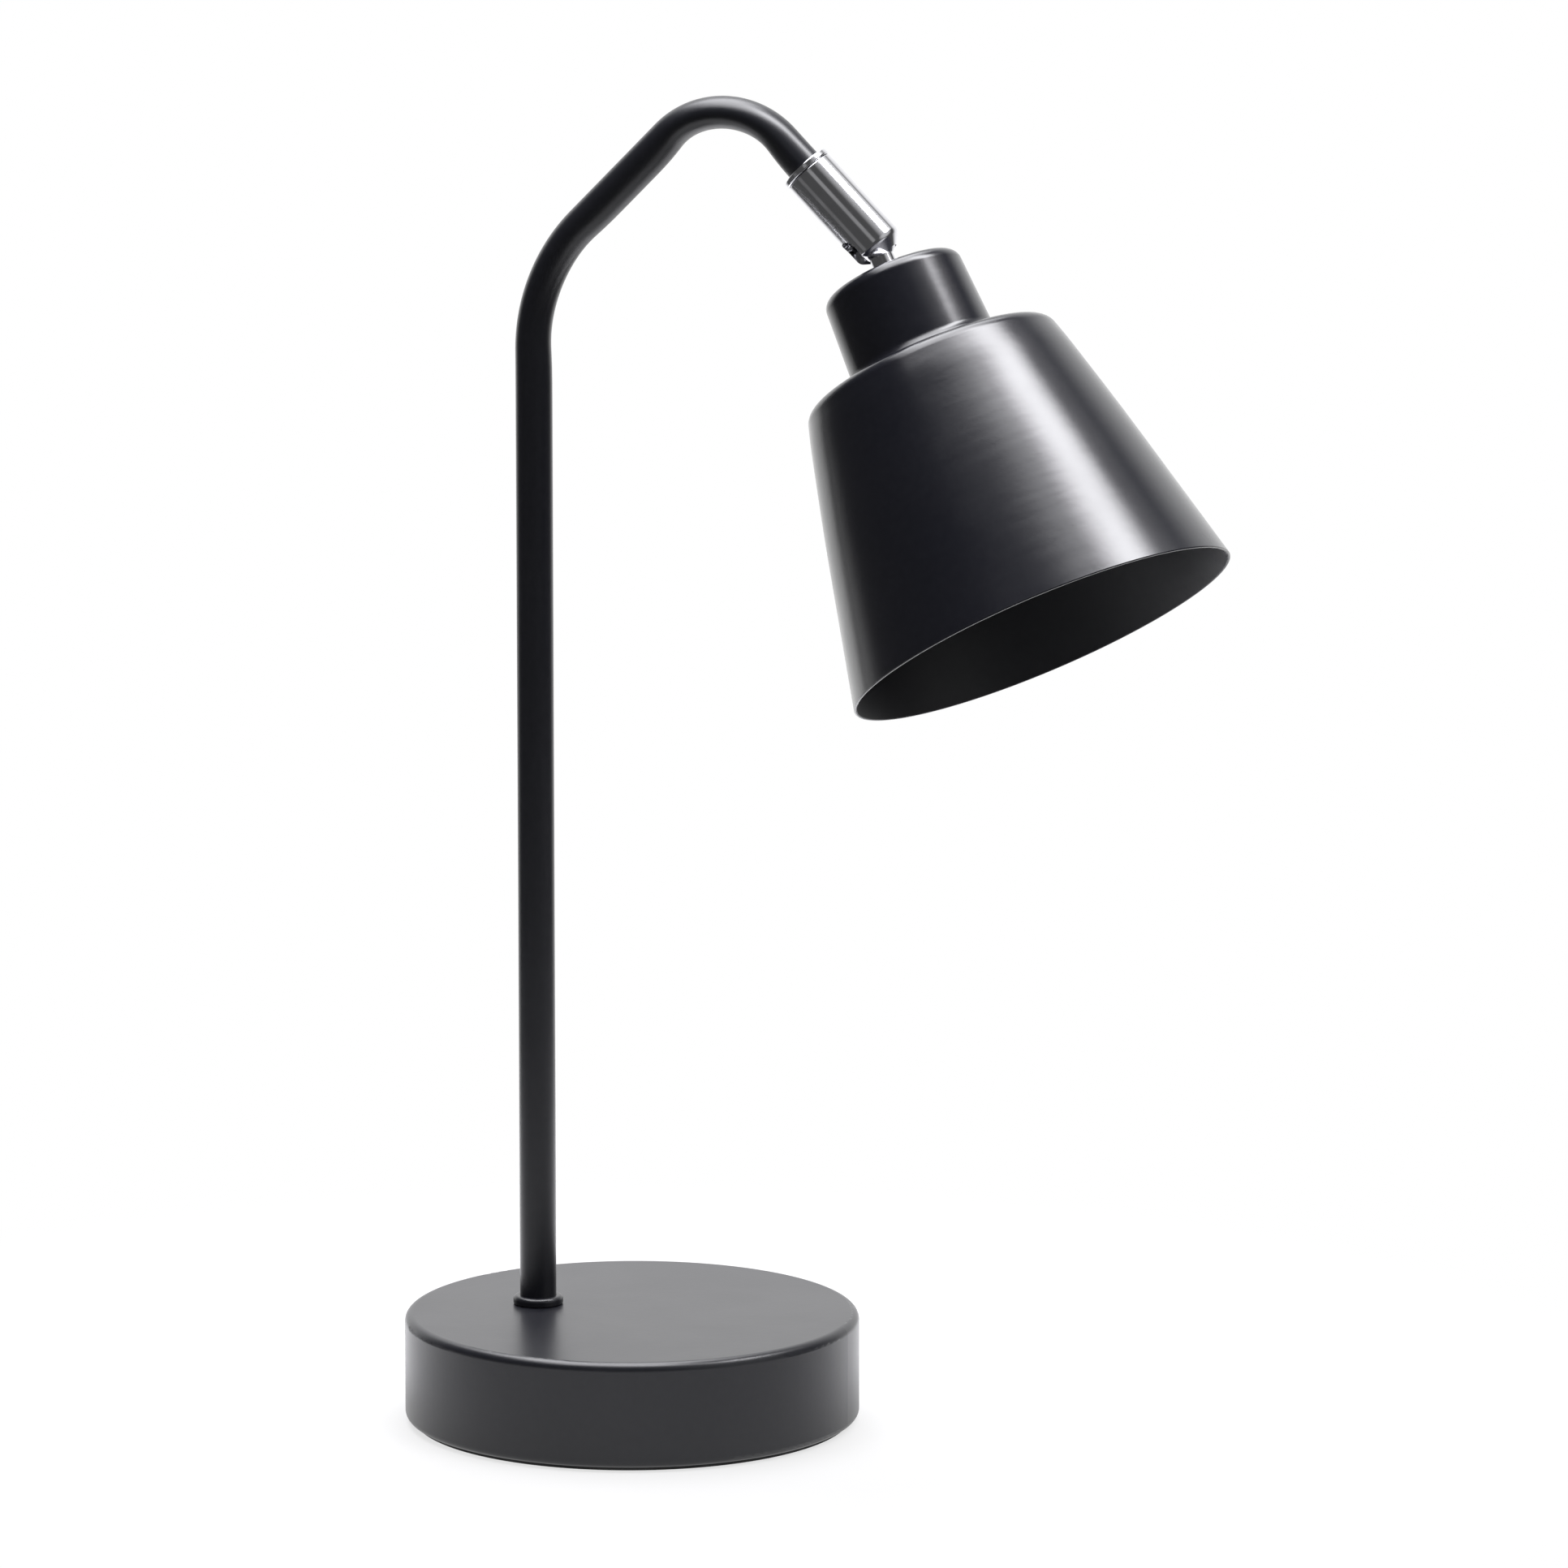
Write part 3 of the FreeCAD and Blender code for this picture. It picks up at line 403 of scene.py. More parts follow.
def turned(runs, axes, columns=AROUND):
    """Turned surface: a closed profile carried round an axis, as vertices, quads and corner normals."""
    places, starts, ends = (spun(part[:, None], full_turn(columns), axes) for part in joined(runs))
    return looped(places + axes[0], starts, ends)


def add_object(name, data):
    """Object in the scene."""
    item = bpy.data.objects.new(name, data)
    bpy.context.scene.collection.objects.link(item)
    return item


def make_piece(name, surface, finish, body, slot, *replaced):
    """Mesh object from vertices, quads and corner normals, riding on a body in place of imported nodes."""
    vertices, faces, normals = surface
    mesh = bpy.data.meshes.new(name)
    mesh.vertices.add(len(vertices))
    mesh.vertices.foreach_set("co", np.ascontiguousarray(vertices, np.float32).ravel())
    mesh.loops.add(faces.size)
    mesh.loops.foreach_set("vertex_index", np.ascontiguousarray(faces, np.int32).ravel())
    mesh.polygons.add(len(faces))
    mesh.polygons.foreach_set("loop_start", np.arange(0, faces.size, 4, dtype=np.int32))
    mesh.polygons.foreach_set("use_smooth", np.ones(len(faces), bool))
    mesh.update(calc_edges=True)
    if mesh.validate():
        raise RuntimeError(f"the mesh of {name} isn't sound")
    if normals is not None:
        mesh.normals_split_custom_set(normals.reshape(-1, 3))
    mesh.materials.append(finish)
    piece = add_object(name, mesh)
    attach(piece, body)
    if replaced:
        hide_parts(*replaced)
    return piece


def dress(finish, *names):
    """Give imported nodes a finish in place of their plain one."""
    for name in names:
        mesh = NODES[name].data
        mesh.materials.clear()
        mesh.materials.append(finish)


def new_group(name, outputs, inputs):
    """Node group with float outputs, and float or vector inputs by their defaults, as (group, given, made)."""
    group = bpy.data.node_groups.new(name, "ShaderNodeTree")
    for label, default in inputs.items():
        kind = "NodeSocketFloat" if isinstance(default, float) else "NodeSocketVector"
        group.interface.new_socket(label, in_out="INPUT", socket_type=kind).default_value = default
    for label in outputs:
        group.interface.new_socket(label, in_out="OUTPUT", socket_type="NodeSocketFloat")
    return group, group.nodes.new("NodeGroupInput").outputs, group.nodes.new("NodeGroupOutput").inputs


def add_node(tree, kind, inputs=(), **settings):
    """Node with settings, and with inputs that are sockets to link or plain values."""
    node = tree.nodes.new(kind)
    for key, value in settings.items():
        setattr(node, key, value)
    for key, value in dict(inputs).items():
        if isinstance(value, bpy.types.NodeSocket):
            tree.links.new(value, node.inputs[key])
        else:
            node.inputs[key].default_value = value
    return node


def add_math(tree, operation, first, second):
    """Math node's result; the operands are sockets or numbers."""
    return add_node(tree, "ShaderNodeMath", {0: first, 1: second}, operation=operation).outputs[0]


def add_vector(tree, operation, first, second):
    """Vector Math node's result: a number for DOT_PRODUCT, else a vector. SCALE takes a number second."""
    key = "Scale" if operation == "SCALE" else 1
    node = add_node(tree, "ShaderNodeVectorMath", {0: first, key: second}, operation=operation)
    return node.outputs["Value" if operation == "DOT_PRODUCT" else "Vector"]


def ramp(tree, value, low, high, first, last, kind="SMOOTHSTEP"):
    """Map Range node's result: from first at low to last at high."""
    inputs = {"Value": value, "From Min": low, "From Max": high, "To Min": first, "To Max": last}
    return add_node(tree, "ShaderNodeMapRange", inputs, interpolation_type=kind).outputs["Result"]


def noise(tree, vector, scale, **values):
    """Noise texture's value."""
    return add_node(tree, "ShaderNodeTexNoise", {"Vector": vector, "Scale": scale, **values}).outputs["Fac"]


def coat_grain_group():
    """Grain of a sprayed or moulded skin: fine pits on a broader swell, as a height in metres and a tone."""
    inputs = {"Vector": NOWHERE, "Pits": 2600.0, "Swell": 420.0, "Pit depth": 9.0e-6, "Swell depth": 1.0e-5}
    group, given, made = new_group("Coat grain", ("Height", "Tone"), inputs)
    pits = noise(group, given["Vector"], given["Pits"], Detail=2.0)
    swell = noise(group, given["Vector"], given["Swell"], Detail=1.0)
    fine = add_math(group, "MULTIPLY", pits, given["Pit depth"])
    broad = add_math(group, "MULTIPLY", swell, given["Swell depth"])
    group.links.new(add_math(group, "ADD", fine, broad), made["Height"])
    group.links.new(add_math(group, "MULTIPLY", pits, swell), made["Tone"])
    return group


def handling_group():
    """Soft uneven patches left by wiping and handling, as a mask from 0 to 1."""
    group, given, made = new_group("Handling marks", ("Mask",), {"Vector": NOWHERE, "Scale": 30.0})
    clouds = noise(group, given["Vector"], given["Scale"], Detail=4.0, Roughness=0.6, Distortion=0.4)
    group.links.new(ramp(group, clouds, *CLOUD_EDGE, 0.0, 1.0), made["Mask"])
    return group


def turning_group():
    """Fine rings round an axis through a point, left by spinning or turning, as a height in metres."""
    inputs = {"Vector": NOWHERE, "Axis": tuple(UP), "Centre": NOWHERE, "Rings": 200.0, "Depth": 4.0e-6, "Wander": 0.05}
    group, given, made = new_group("Turning rings", ("Height",), inputs)
    offset = add_vector(group, "SUBTRACT", given["Vector"], given["Centre"])
    along = add_vector(group, "DOT_PRODUCT", offset, given["Axis"])
    rise = add_vector(group, "SCALE", given["Axis"], along)
    drift = add_vector(group, "SCALE", offset, given["Wander"])
    rings = noise(group, add_vector(group, "ADD", rise, drift), given["Rings"], Detail=2.0)
    group.links.new(add_math(group, "MULTIPLY", rings, given["Depth"]), made["Height"])
    return group


# Node groups that several finishes share.
GROUPS = {"Coat grain": coat_grain_group, "Handling marks": handling_group, "Turning rings": turning_group}


class Finish:
    """New material with its Principled shader, Object coordinates and the shared groups at hand."""

    def __init__(self, name, values=()):
        self.material = bpy.data.materials.new(name)
        self.material.use_nodes = True
        self.tree = self.material.node_tree
        self.shader = self.tree.nodes["Principled BSDF"]
        for key, value in dict(values).items():
            self.shader.inputs[key].default_value = value
        self.place = self.tree.nodes.new("ShaderNodeTexCoord").outputs["Object"]

    def group(self, name, inputs=()):
        """Outputs of a shared group, built once, on this finish's own coordinates."""
        shared = bpy.data.node_groups.get(name) or GROUPS[name]()
        inputs = {"Vector": self.place, **dict(inputs)}
        return add_node(self.tree, "ShaderNodeGroup", inputs, node_tree=shared).outputs

    def handling(self, scale):
        """Mask of the handling marks."""
        return self.group("Handling marks", {"Scale": scale})["Mask"]

    def rings(self, axes, rings, depth, wander):
        """Height of turning rings round the third axis."""
        inputs = {"Axis": tuple(axes[3]), "Centre": tuple(axes[0]), "Rings": rings, "Depth": depth, "Wander": wander}
        return self.group("Turning rings", inputs)["Height"]

    def tint(self, mask, first, second, low=0.0, high=1.0):
        """Base colour that goes from one colour to another as a mask goes from low to high."""
        between = ramp(self.tree, mask, low, high, 0.0, 1.0, "LINEAR")
        inputs = {"A": (*first, 1), "B": (*second, 1), "Factor": between}
        mix = add_node(self.tree, "ShaderNodeMix", inputs, data_type="RGBA")
        self.tree.links.new(mix.outputs["Result"], self.shader.inputs["Base Color"])

    def gloss(self, mask, low, high):
        """Roughness that goes from low to high with a mask from 0 to 1."""
        rough = ramp(self.tree, mask, 0.0, 1.0, low, high, "LINEAR")
        self.tree.links.new(rough, self.shader.inputs["Roughness"])

    def duller(self, mark, amount):
        """More roughness where the mesh carries a mark."""
        marked = add_node(self.tree, "ShaderNodeAttribute", attribute_name=mark)
        rough = self.shader.inputs["Roughness"]
        more = add_math(self.tree, "MULTIPLY", marked.outputs["Fac"], amount)
        self.tree.links.new(add_math(self.tree, "ADD", rough.links[0].from_socket, more), rough)

    def relief(self, *heights):
        """Bump from the sum of heights in metres."""
        total = heights[0]
        for height in heights[1:]:
            total = add_math(self.tree, "ADD", total, height)
        bump = add_node(self.tree, "ShaderNodeBump", {"Strength": 1.0, "Distance": 1.0, "Height": total})
        self.tree.links.new(bump.outputs["Normal"], self.shader.inputs["Normal"])


def times(value, factor):
    """Colour times a factor."""
    return tuple(min(1.0, part * factor) for part in value)


def black_coat(settings, name, rough, drift, scale, **rings):
    """Black powder coat: near black, with a fine orange peel, faint handling marks in its gloss and perhaps rings."""
    made = Finish(name)
    grain = made.group("Coat grain")
    made.tint(grain["Tone"], settings.finish.paint, settings.finish.paint_pale, *PAINT_TONES)
    made.gloss(made.handling(scale), rough - drift, rough + drift)
    made.relief(grain["Height"], *([made.rings(**rings)] if rings else []))
    return made


def satin_paint(settings):
    """Black powder coat of the base and the arm, made once."""
    name = "Satin black coat"
    made = bpy.data.materials.get(name)
    return made or black_coat(settings, name, settings.finish.paint_gloss, drift=0.01, scale=22.0).material


def spun_paint(settings):
    """Black powder coat over spun sheet: the coat's grain on faint rings round the shade's axis, duller inside."""
    rings = {"axes": head_axes(settings), "rings": 170.0, "depth": 3.6e-5, "wander": 0.2}
    name = "Satin black coat on spun sheet"
    made = black_coat(settings, name, settings.finish.shade_gloss, drift=0.02, scale=26.0, **rings)
    made.duller("inside", amount=0.3)
    return made.material


def chrome_plate(settings, name, axes):
    """Polished chrome: faint turning rings round the piece's own axis and soft wiping marks."""
    made = Finish(name, METAL)
    marks = made.handling(scale=120.0)
    made.tint(marks, settings.finish.chrome, times(settings.finish.chrome, factor=0.93))
    made.gloss(marks, low=0.11, high=0.16)
    made.relief(made.rings(axes, rings=1500.0, depth=2.0e-7, wander=0.02))
    return made.material


def plain_finish(settings, name):
    """Finish from its recipe, made once: its colour follows the grain or the handling marks, its gloss the marks."""
    if name in bpy.data.materials:
        return bpy.data.materials[name]
    setting, factor, follows, scale, rough, grain, values = PLAIN_FINISHES[name]
    made = Finish(name, values)
    skin = made.group("Coat grain", zip(GRAIN_INPUTS, grain))
    marks = made.handling(scale)
    first = getattr(settings.finish, setting)
    mask, limits = (skin["Tone"], GRAIN_TONES) if follows == "grain" else (marks, ())
    made.tint(mask, first, times(first, factor), *limits)
    made.gloss(marks, *rough)
    made.relief(skin["Height"])
    return made.material


def shade_surface(sizes, axes):
    """Stepped shade: a thin closed outline of neck, shoulder and cone, turned about the head's axis."""
    wall, top, hole = sizes.wall, sizes.start, sizes.stud_hole / 2
    foot = top + sizes.neck_height
    shoulder = foot + sizes.shoulder_drop
    rim = shoulder + sizes.cone_height
    neck_top, neck_foot = sizes.neck_top / 2, sizes.neck_bottom / 2
    edge, mouth = sizes.shoulder / 2, sizes.mouth / 2
    lean = (mouth - edge) / sizes.cone_height
    ease = edge + lean * sizes.ease_drop + sizes.ease, shoulder + sizes.ease_drop
    crown = edge + lean * sizes.crown_drop + sizes.crown, shoulder + sizes.crown_drop
    corners = [
        (hole, top),
        (neck_top, top, sizes.neck_round),
        (neck_foot, foot, sizes.neck_fillet),
        (edge, shoulder, sizes.shoulder_round),
        (*ease, sizes.ease_round),
        (*crown, sizes.crown_round),
        (mouth, rim, sizes.rim_round),
        (mouth - wall, rim, sizes.rim_round),
        (crown[0] - wall, crown[1], sizes.crown_round),
        (ease[0] - wall, ease[1], sizes.ease_round / 2),
        (edge - wall, shoulder + wall, sizes.shoulder_round - wall),
        (neck_foot - wall, foot + wall, sizes.neck_fillet + wall),
        (neck_top - wall, top + wall, sizes.neck_round - wall),
        (hole, top + wall),
    ]
    return turned(rounded(corners), axes, SHADE_COLUMNS)


def mark_inside(mesh, vertices, axes):
    """Mark on the mesh the rows of the shade's outline that come after its rim, which are its inside."""
    along = (vertices - axes[0]) @ axes[3]
    inside = np.arange(len(along)) > np.argmax(along.round(DIGITS)) + SHADE_COLUMNS
    mesh.attributes.new("inside", "FLOAT", "POINT").data.foreach_set("value", inside.astype(np.float32))


def arm_line(sizes):
    """Centre line of the arm in the XZ plane: points, slope angles and the press of the bends at each point."""
    rise, drop = sizes.rise, sizes.drop
    lower, upper = sizes.lower_radius, sizes.upper_radius
    # Each run's length, curvature, press and steps.
    runs = (
        (sizes.pole, 0.0, 0.0, 60),
        (lower * (math.pi / 2 - rise), -1 / lower, sizes.lower_press, 40),
        (sizes.slope, 0.0, 0.0, 24),
        (upper * (rise + drop), -1 / upper, sizes.upper_press, 48),
        (sizes.tail, 0.0, 0.0, 10),
    )
    points, angles, press = [np.zeros((1, 2))], [np.array([math.pi / 2])], [np.zeros(1)]
    for reach, curve, pressed, steps in runs:
        start, angle = points[-1][-1], angles[-1][-1]
        travel = np.linspace(0, reach, steps + 1)[1:]
        turn = angle + curve * travel
        if curve:
            along = np.stack([np.sin(turn) - math.sin(angle), math.cos(angle) - np.cos(turn)], -1) / curve
        else:
            along = travel[:, None] * np.array([math.cos(angle), math.sin(angle)])
        points.append(start + along)
        angles.append(turn)
        press.append(np.full(steps, pressed))
    return (np.concatenate(part) for part in (points, angles, press))


def arm_surface(sizes):
    """Bent tube: an oval carried along the arm's line, its outer wall up and its inner wall back.

    The oval is r (1 - f) across the bend and r (1 + f) beside it, pressed in from the bend's inside, where f
    follows the bends and fades beyond them.
    """
    line, angles, press = arm_line(sizes)
    span = np.concatenate([[0], np.cumsum(np.linalg.norm(np.diff(line, axis=0), axis=1))])
    spread = np.exp(-(((span[:, None] - span[None, :]) / PRESS_FADE) ** 2)) * np.gradient(span)[None, :]
    flat = (spread @ press) / spread.sum(1)
    zero = np.zeros_like(angles)
    centre = np.stack([line[:, 0] + sizes.foot_x, zero, line[:, 1] + sizes.foot_z], -1)[:, None]
    normal = np.stack([-np.sin(angles), zero, np.cos(angles)], -1)[:, None]
    way = np.stack([np.cos(angles), zero, np.sin(angles)], -1)[:, None]
    turn = full_turn(TUBE_COLUMNS)
    beside = np.array([0, -1.0, 0])
    narrow, wide = (1 - flat)[:, None, None], (1 + flat)[:, None, None]
    cosine, sine = np.cos(turn)[None, :, None], np.sin(turn)[None, :, None]
    ring = (narrow * cosine + flat[:, None, None]) * normal + wide * sine * beside
    skin = cosine / narrow * normal + sine / wide * beside
    skin /= np.linalg.norm(skin, axis=2, keepdims=True)
    outer = centre + ring * sizes.tube / 2
    inner = centre + ring * (sizes.tube / 2 - sizes.tube_wall)
    places = np.concatenate([outer, inner[::-1]])
    ways = np.broadcast_to(way, skin.shape)
    end, foot, back = ways[-1:], -ways[:1], -skin[::-1]
    starts = np.concatenate([skin[:-1], end, back[:-1], foot])
    ends = np.concatenate([skin[1:], end, back[1:], foot])
    return looped(places, starts, ends)


def collar_surface(sizes, axes):
    """Round collar: a low ring with a rounded crown, turned about the pole."""
    bore, outside = sizes.tube / 2 + FIT_GAP, sizes.collar / 2
    corners = [
        (bore, 0.0),
        (outside, 0.0, sizes.collar_foot),
        (outside, sizes.collar_height, sizes.collar_round),
        (bore, sizes.collar_height),
    ]
    return turned(rounded(corners), axes)


def cap_surface(sizes, arm, axes):
    """Cap at the arm's end: spigot, ring and grooved spindle in one outline, turned about the sleeve's axis."""
    bore, spigot = sizes.bore / 2, arm.tube / 2 - arm.tube_wall - FIT_GAP
    ring, spindle = sizes.ring / 2, sizes.spindle / 2
    groove, deep = sizes.groove_place, spindle - sizes.groove_depth
    end = sizes.ring_height + sizes.spindle_length
    corners = [
        (bore, -sizes.spigot),
        (spigot, -sizes.spigot),
        (spigot, 0.0),
        (ring, 0.0, sizes.edge_round),
        (ring, sizes.ring_height, sizes.edge_round),
        (spindle, sizes.ring_height),
        (spindle, groove),
        (deep, groove),
        (deep, groove + sizes.groove_height),
        (spindle, groove + sizes.groove_height),
        (spindle, end),
        (bore, end),
    ]
    return turned(rounded(corners), axes)


def sleeve_surface(sizes, axes):
    """Slotted sleeve: a turned outline whose columns start at the slot's edge instead of at one seam.

    At height z the slot is h(z) wide on each side, h = w (1 - t^p)^(1/p) in its rounded end with the slot's power p,
    so the columns at radius r run from the angle asin(h / r) round to the same angle on the other side.
    """
    outside, bearing = sizes.sleeve / 2, sizes.spindle / 2 + FIT_GAP
    socket, mouth, start = sizes.socket / 2, sizes.nose_mouth / 2, sizes.ring_height + SLEEVE_GAP
    half, apex = sizes.slot / 2, sizes.ball_place - sizes.slot_reach
    lean = math.atan2(outside - sizes.nose_tip / 2, sizes.nose_length)
    bend = sizes.sleeve_length - sizes.nose_round * math.tan(lean / 2)
    lip = sizes.sleeve_length + (outside - mouth - sizes.lip) / math.tan(lean)
    throat = sizes.ball_place + math.sqrt(socket**2 - mouth**2)
    rise = apex + sizes.slot_round * (1 - np.cos(np.linspace(0, np.pi / 2, SLOT_ROWS)))
    curve = bend + sizes.nose_round * np.sin(np.linspace(0, lean, NOSE_ROWS))
    hollow = np.linspace(sizes.ball_place, throat, HOLLOW_ROWS)
    heights = np.unique(np.concatenate([rise, curve, hollow, [lip]]).round(DIGITS))
    nose = np.arcsin(np.clip((heights - bend) / sizes.nose_round, 0, math.sin(lean)))
    cone = np.maximum(heights - curve[-1], 0) * math.tan(lean)
    outer = np.stack([outside - sizes.nose_round * (1 - np.cos(nose)) - cone, heights], -1)
    outer_skin = np.stack([np.cos(nose), np.sin(nose)], -1)
    drop = np.clip((heights - sizes.ball_place) / socket, 0, 1)
    bored = heights > throat - TINY
    inner = np.stack([np.where(bored, mouth, socket * np.sqrt(1 - drop**2)), heights], -1)
    inner_skin = -np.where(bored[:, None], np.array([1.0, 0]), np.stack([np.sqrt(1 - drop**2), drop], -1))
    head = rounded([(bearing, start), (outside, start, sizes.edge_round), (outside, apex)], closed=False)
    back = rounded([(socket, apex), (socket, sizes.sleeve_shoulder), (bearing, sizes.sleeve_shoulder)], closed=False)
    runs = head + [(outer, outer_skin), straight(outer[-1], inner[-1]), (inner[::-1], inner_skin[::-1])]
    runs += back + [straight((bearing, sizes.sleeve_shoulder), (bearing, start))]
    points, starts, ends = (part[:, None] for part in joined(runs))
    rows, columns, count = len(points), SLEEVE_COLUMNS, len(heights)
    first = sum(len(run[0]) - 1 for run in head)
    outside_rows, inside_rows = slice(first, first + count), slice(first + count, first + 2 * count)
    share_up = np.clip((apex + sizes.slot_round - heights) / sizes.slot_round, 0, 1)
    width = half * (1 - share_up**SLOT_POWER) ** (1 / SLOT_POWER)
    limit = np.zeros(rows)
    limit[outside_rows] = np.arcsin(width / outer[:, 0])
    limit[inside_rows] = np.arcsin(width / inner[:, 0])[::-1]
    angles = limit[:, None] + (np.pi - limit[:, None]) * np.linspace(0, 2, columns)
    places = spun(points, angles, axes) + axes[0]
    start_normals, end_normals = spun(starts, angles, axes), spun(ends, np.roll(angles, -1, 0), axes)
    index = np.arange(rows * columns).reshape(rows, columns)
    index[limit < TINY, -1] = index[limit < TINY, 0]
    faces = [quad_corners(index, np.roll(index, -1, 0))[:, :-1].reshape(-1, 4)]
    normals = [quad_corners(start_normals, end_normals)[:, :-1].reshape(-1, 4, 3)]
    over, under = index[outside_rows], index[inside_rows][::-1]
    spread_out = np.gradient(width, heights)
    spread_out[0] = SLOT_END
    _, _, side, along = axes
    for column, sign in ((0, 1), (-1, -1)):
        skin = spread_out[:, None] * along - sign * side
        skin /= np.linalg.norm(skin, axis=1)[:, None]
        wall = [over[:-1, column], over[1:, column], under[1:, column], under[:-1, column]]
        faces.append(np.stack(wall, -1)[:, ::sign])
        normals.append(np.stack([skin[:-1], skin[1:], skin[1:], skin[:-1]], 1)[:, ::sign])
    used, faces = np.unique(np.concatenate(faces), return_inverse=True)
    return places.reshape(-1, 3)[used], faces.reshape(-1, 4), np.concatenate(normals)


def stud_surface(sizes, shade, axes):
    """Ball stud: ball, flared stem, flange and thread with a bore through them, turned about the head's axis."""
    ball, stem, bore = sizes.ball / 2, sizes.stem / 2, sizes.stem_bore / 2
    seat, thread = shade.start, sizes.thread / 2
    flange_top = seat - sizes.flange_height
    end = seat + sizes.thread_length
    low, high = -math.acos(bore / ball), math.acos(stem / ball)
    top = (bore, ball * math.sin(low))
    neck = (stem, ball * math.sin(high))
    corners = [neck, (stem, flange_top, sizes.stem_flare), (sizes.flange / 2, flange_top)]
    corners += [(sizes.flange / 2, seat), (thread, seat), (thread, end), (bore, end), top]
    runs = [arc((0, 0), ball, low, high, BALL_STEPS)] + rounded(corners, closed=False)
    return turned(runs, axes)


def screw_cap_surface(sizes, axes):
    """Lamp cap with a rolled thread: radius root + depth (1 + cos(2 pi z / pitch - angle)) / 2, fading at both ends."""
    root = sizes.cap / 2 - sizes.depth
    low, high = sizes.cap_start + sizes.insulator, sizes.cap_start + sizes.cap_height
    height = np.linspace(low, high, THREAD_ROWS)[:, None]
    angle = full_turn(TUBE_COLUMNS)
    fade = np.clip((height - low) / sizes.pitch, 0, 1) * np.clip((low + sizes.threaded - height) / sizes.pitch, 0, 1)
    wave = (1 + np.cos(2 * np.pi * height / sizes.pitch - angle)) / 2
    outer = root + sizes.depth * fade * wave
    inner = np.full((2, TUBE_COLUMNS), root - sizes.depth)
    radius = np.concatenate([outer, inner])
    level = np.broadcast_to(np.concatenate([height, [[high]], [[low]]]), radius.shape)
    places = spun(np.stack([radius, level], -1), angle, axes) + axes[0]
    return looped(places)


class DESK_LAMP_OT_base(bpy.types.Operator):
    """Give the base's cover, weight, foot pad and grommet their finishes"""

    bl_idname = "desk_lamp.base"
    bl_label = "Base"

    def execute(self, context):
        settings = context.scene.desk_lamp
        dress(satin_paint(settings), "base_shell")
        dress(plain_finish(settings, "Cast iron"), "base_weight")
        dress(plain_finish(settings, "Black rubber"), "base_pad", "cord_grommet")
        return {"FINISHED"}


class DESK_LAMP_OT_arm(bpy.types.Operator):
    """Build the bent tube and the collar at its foot"""

    bl_idname = "desk_lamp.arm"
    bl_label = "Arm"

    def execute(self, context):
        settings = context.scene.desk_lamp
        paint = satin_paint(settings)
        make_piece("arm_tube", arm_surface(settings.arm), paint, "stand", "black_paint", "pole_tube")
        collar = collar_surface(settings.arm, stand_axes(settings))
        make_piece("foot_collar", collar, paint, "stand", "black_paint", "pole_collar")
        return {"FINISHED"}


class DESK_LAMP_OT_swivel(bpy.types.Operator):
    """Build the ring, the slotted sleeve and the ball stud"""

    bl_idname = "desk_lamp.swivel"
    bl_label = "Ball swivel"

    def execute(self, context):
        settings = context.scene.desk_lamp
        sizes, axes, head = settings.swivel, swivel_axes(), head_axes(settings)
        chrome = chrome_plate(settings, "Chrome plate on the sleeve", axes)
        make_piece("arm_cap", cap_surface(sizes, settings.arm, axes), chrome, "stand", "chrome_plate", "swivel_cap")
        make_piece("slotted_sleeve", sleeve_surface(sizes, axes), chrome, "swivel", "chrome_plate", "swivel_sleeve")
        chrome = chrome_plate(settings, "Chrome plate on the stud", head)
        stud = stud_surface(sizes, settings.shade, head)
        make_piece("head_stud", stud, chrome, "head", "chrome_plate", "ball_stud")
        return {"FINISHED"}


class DESK_LAMP_OT_shade(bpy.types.Operator):
    """Build the spun shade"""

    bl_idname = "desk_lamp.shade"
    bl_label = "Shade"

    def execute(self, context):
        settings = context.scene.desk_lamp
        axes = head_axes(settings)
        shade = shade_surface(settings.shade, axes)
        piece = make_piece("spun_shade", shade, spun_paint(settings), "head", "black_paint", "shade")
        mark_inside(piece.data, shade[0], axes)
        return {"FINISHED"}


class DESK_LAMP_OT_bulb(bpy.types.Operator):
    """Build the lamp's threaded cap and give its glass and contacts their finishes"""

    bl_idname = "desk_lamp.bulb"
    bl_label = "Bulb"

    def execute(self, context):
        settings = context.scene.desk_lamp
        cap = screw_cap_surface(settings.bulb, head_axes(settings))
        make_piece("threaded_cap", cap, plain_finish(settings, "Zinc plate"), "head", "plain_steel", "bulb_cap")
        dress(plain_finish(settings, "Opal glass"), "bulb_glass")
        brass = plain_finish(settings, "Bare brass")
        dress(brass, "bulb_contact", "screw_shell", "centre_contact", "terminal_screws")
        dress(plain_finish(settings, "Black moulding"), "bulb_insulator")
        return {"FINISHED"}


class DESK_LAMP_OT_hardware(bpy.types.Operator):
    """Give the lamp holder, the leads and the hidden fasteners their finishes"""

    bl_idname = "desk_lamp.hardware"
    bl_label = "Holder and fasteners"

    def execute(self, context):
        settings = context.scene.desk_lamp
        moulding = plain_finish(settings, "Black moulding")
        dress(moulding, "holder_cap", "holder_body", "holder_insulator", "ball_seat")
        dress(moulding, "nipple_bushing", "pole_lead", "head_lead")
        steel = plain_finish(settings, "Zinc plate")
        dress(steel, "pole_nipple", "base_washer", "base_nut", "swivel_clip", "seat_spring")
        dress(steel, "shade_washer", "shade_nut")
        return {"FINISHED"}


def view_axes(stage):
    """The camera's right hand side and the way from the lamp back to it, both level."""
    cosine, sine = math.cos(stage.swing), math.sin(stage.swing)
    return np.array([cosine, sine, 0]), np.array([sine, -cosine, 0])


